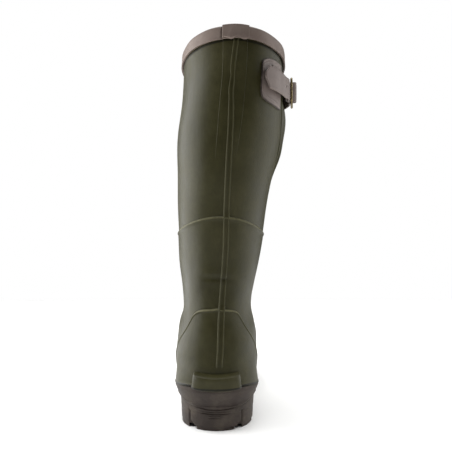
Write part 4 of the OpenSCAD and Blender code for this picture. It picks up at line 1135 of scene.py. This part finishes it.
def side_off(y, z, x):
    """How far the sole's side stands outside its outline: it flares to the upper above the seat, steps in 1.1 mm under
    the cup's edge, and carries three short ridges at the back of the heel, upright notches that widen downwards, and
    ribs along the forefoot."""
    seat, plate = seat_z(y), plate_z(y)
    off = np.where(z > seat, flare(y, z), mix(0.0, 0.6, np.clip((z - plate) / (seat - plate), 0, 1)))
    d = z - cup_line(y)
    off = off - (1.1 - 0.9 * smooth(x / 12)) * (1 - smooth(d / 1.1 + 0.5))
    off = off + 0.5 * bump((d - 1.3) / 0.9) - 0.5 * bump((d + 0.7) / 0.6)
    back = smooth((-y - 20) / 12)
    mid = np.abs(x + 1.2)
    for z0, half, rise in ((22.0, 26.0, 3.0), (17.6, 17.0, 1.6), (13.4, 8.5, 0.8)):
        u = z - z0 - rise * (mid / 24) ** 2
        off = off + back * smooth((half - mid) / 4) * (0.55 * bump((u - 0.9) / 0.7) - 0.65 * bump((u + 0.3) / 0.55))
    low = smooth((9 - z) / 6)
    for x0 in (-28.8, 27.0):
        notch = bump((x - x0 + 1.6 * np.sign(x0) * low) / (0.75 + 1.5 * low))
        off = off - (1.6 + 1.6 * low) * notch * smooth(-y / 8) * smooth((20.5 - z) / 2)
    for y0 in (-10, 7, 24):
        off = off - 1.3 * bump((y - y0 - 1.6) / 0.9) * smooth((np.abs(x) - 30) / 4) * smooth((21 - z) / 2) * (y < 42)
    ribs = smooth((y - 62) / 10) * smooth((seat - 3.0 - z) / 1.5)
    return off + ribs * 0.5 * np.sin(y * 2 * np.pi / 7.5)


def wall_ring(f, low, high, k, inset=0.0):
    """One line of the sole's side at share k of the way from low(y) to high(y), moved in by inset."""
    p = outline(f)
    z = mix(low(p[:, 1]), high(p[:, 1]), k)
    return np.c_[outline(f, side_off(p[:, 1], z, p[:, 0]) - inset), z]


def band_foot(y):
    """Height of the band's lower edge, just under the seat."""
    return seat_z(y) - 0.6


def sole_band():
    """The brown band: its side flares up to the upper, its top rolls over onto the olive rubber."""
    f, k_top = np.linspace(0, 1, 420, endpoint=False), 0.96
    rows = [wall_ring(f, band_foot, band_top, k) for k in np.linspace(0, k_top, 46)]
    for inset, rise in ((0.25, 0.3), (0.6, 0.5), (1.2, 0.55), (3.0, 0.0), (8.0, -3.0), (12, -8)):
        rows.append(wall_ring(f, band_foot, band_top, k_top, inset) + [0, 0, rise])
    rows.append(np.c_[outline(f, -12.0), band_foot(outline(f)[:, 1])])
    loft("foxing_band_rubber", np.array(rows), BROWN, "sole_rubber", ends=False, stands_for="foxing_band")


sole_band()


def sole_plate():
    """The outsole's plate from the tread's roots to the seat, its lower edge rolled over 1.2 mm, its two faces closed
    by strips bridged side to side."""
    f = np.linspace(0, 1, 460, endpoint=False)
    rings = np.array([wall_ring(f, plate_z, lambda y: seat_z(y) + 0.5, k, 1.2 * (1 - rolled(k * 11.0, 1.4)))
                      for k in np.r_[np.linspace(0, 0.08, 6), np.linspace(0.1, 1, 52)]])
    nr, nc = rings.shape[:2]
    faces = grid_faces(nr, nc, wrap=True).tolist()
    half = nc // 2
    for base in (0, (nr - 1) * nc):
        faces += [[base, base + 1, base + nc - 1], [base + half - 1, base + half, base + half + 1]]
        faces += [[base + nc - j, base + nc - j - 1, base + j + 1, base + j] for j in range(1, half - 1)]
    make("outsole_rubber", rings.reshape(-1, 3), faces, BROWN, "sole_rubber", stands_for="outsole", sharp=55)


sole_plate()


def heel_curve(n=520):
    """The heel's outline as n even points: the sole's outline behind the breast, then the breast with its hollow, a
    circle of radius 40 mm; the corners are softened by an average along the line."""
    p = outline(np.linspace(-0.3, 0.3, 4001))
    p = p[p[:, 1] < BREAST_Y]
    x = np.linspace(p[-1, 0], p[0, 0], 400)
    hollow = BREAST_Y + 34 - np.sqrt(np.clip(40**2 - x**2, 0, None))
    front = np.where(np.abs(x) < 21, hollow, BREAST_Y)
    loop = np.vstack([p, np.c_[x, np.minimum(front, BREAST_Y)]])
    step = np.linalg.norm(np.roll(loop, -1, 0) - loop, axis=1)
    run = np.r_[0, np.cumsum(step)]
    k = np.linspace(0, run[-1], n, endpoint=False)
    q = np.stack([np.interp(k, run, np.r_[loop[:, i], loop[0, i]]) for i in (0, 1)], -1)
    for _ in range(6):
        q = (np.roll(q, 1, 0) + 2 * q + np.roll(q, -1, 0)) / 4
    return q


def heel_block():
    """The heel's block under the cup: the side's own relief, carried down to the tread and leaning in a little, its
    lower edge rolled over 1 mm."""
    q = heel_curve()
    d = unit(np.roll(q, -2, 0) - np.roll(q, 2, 0))
    out = np.c_[d[:, 1], -d[:, 0]]
    rows = []
    for z in np.r_[3.4, 3.6, 4.1, np.linspace(5, 17.4, 40)]:
        off = side_off(q[:, 1], np.full(len(q), z), q[:, 0]) * (q[:, 1] < BREAST_Y - 1)
        off = off - 0.2 - 0.55 * smooth((14 - z) / 12) - 0.9 * (1 - rolled(z - 3.4, 1.0))
        rows.append(np.c_[q + out * off[:, None], np.full(len(q), z)])
    loft("heel_block_rubber", np.array(rows), BROWN, "sole_rubber", stands_for="heel_lift", sharp=60)


heel_block()


def softened(name, node, finish, width, body="root"):
    """A merged copy of a node's mesh with its sharp edges bevelled by width."""
    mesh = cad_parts[node].data.copy()
    bm = bmesh.new()
    bm.from_mesh(mesh)
    bmesh.ops.remove_doubles(bm, verts=bm.verts, dist=2e-6)
    bmesh.ops.dissolve_limit(bm, angle_limit=np.radians(1), verts=bm.verts, edges=bm.edges)
    edges = [e for e in bm.edges if len(e.link_faces) == 2 and e.calc_face_angle() > np.radians(32)]
    bmesh.ops.bevel(bm, geom=edges, offset=width * MM, segments=3, profile=0.5, affect="EDGES", clamp_overlap=True)
    bmesh.ops.triangulate(bm, faces=bm.faces)
    bm.to_mesh(mesh)
    bm.free()
    mesh.shade_smooth()
    mesh.set_sharp_from_angle(angle=np.radians(38))
    mesh.name = name
    return dress(name, mesh, finish, body, node)


softened("heel_tread_lugs", "heel_tread", BROWN, 0.7)
softened("forefoot_tread_lugs", "forefoot_tread", BROWN, 0.8)
softened("footbed_foam", "footbed", FOAM, 0.8, body="footbed")

for node, finish in (("lasting_board", BOARD), ("shank", STEEL), ("heel_filler", CORK)):
    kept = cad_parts[node]
    kept.data.materials.clear()
    kept.data.materials.append(finish)


# ---- camera, floor and light ----
def softbox(name, place, turn_y, power):
    """A rectangular softbox, 0.9 m by 0.8 m, turned about Y towards the boot; power is in watts."""
    data = bpy.data.lights.new(name, "AREA")
    data.shape, data.size, data.size_y, data.energy = "RECTANGLE", 0.9, 0.8, power
    lamp = placed(name, data)
    lamp.location, lamp.rotation_euler = place, (0, np.radians(turn_y), 0)
    lamp.visible_camera = False


def stage():
    """A plain pale floor, a white room that lights softly, softboxes to the left and to the right, and a soft sun
    above.
    """
    scene = bpy.context.scene
    scene.view_settings.view_transform = "Standard"
    scene.view_settings.look = "None"
    eye = bpy.data.cameras.new("camera")
    eye.lens, eye.sensor_width, eye.shift_y, eye.clip_start = 34.25, 36.0, 0.0774, 0.01
    camera = placed("camera", eye)
    camera.location, camera.rotation_euler = (0.010, -0.480, 0.173), (np.pi / 2, 0, 0)
    scene.camera = camera
    floor, half = bpy.data.meshes.new("floor"), 1.4
    floor.from_pydata([(-half, -half, 0), (half, -half, 0), (half, half, 0), (-half, half, 0)], [], [(0, 1, 2, 3)])
    ground = placed("floor", floor)
    pale = Finish("pale floor", Roughness=0.9, Specular_IOR_Level=0.1)
    floor.materials.append(pale.done(pale.ramp(pale.noise(3, 2), [(0.4, "#fbfbfa"), (0.6, "#fdfdfc")])))
    world = bpy.data.worlds.new("white room")
    world.use_nodes = True
    scene.world = world
    tree = world.node_tree
    back = tree.nodes["Background"]
    path = tree.nodes.new("ShaderNodeLightPath")
    seen = tree.nodes.new("ShaderNodeMapRange")
    seen.inputs[3].default_value, seen.inputs[4].default_value = 0.05, 1.0
    tree.links.new(path.outputs["Is Camera Ray"], seen.inputs[0])
    tree.links.new(seen.outputs[0], back.inputs[1])
    back.inputs[0].default_value = (1, 1, 1, 1)
    softbox("left softbox", (-0.62, 0.16, 0.42), -97, 11.0)
    softbox("right softbox", (0.66, 0.16, 0.40), 97, 4.5)
    day = bpy.data.lights.new("overhead light", "SUN")
    day.energy, day.angle = 3.2, np.radians(60)
    placed("overhead light", day)


stage()
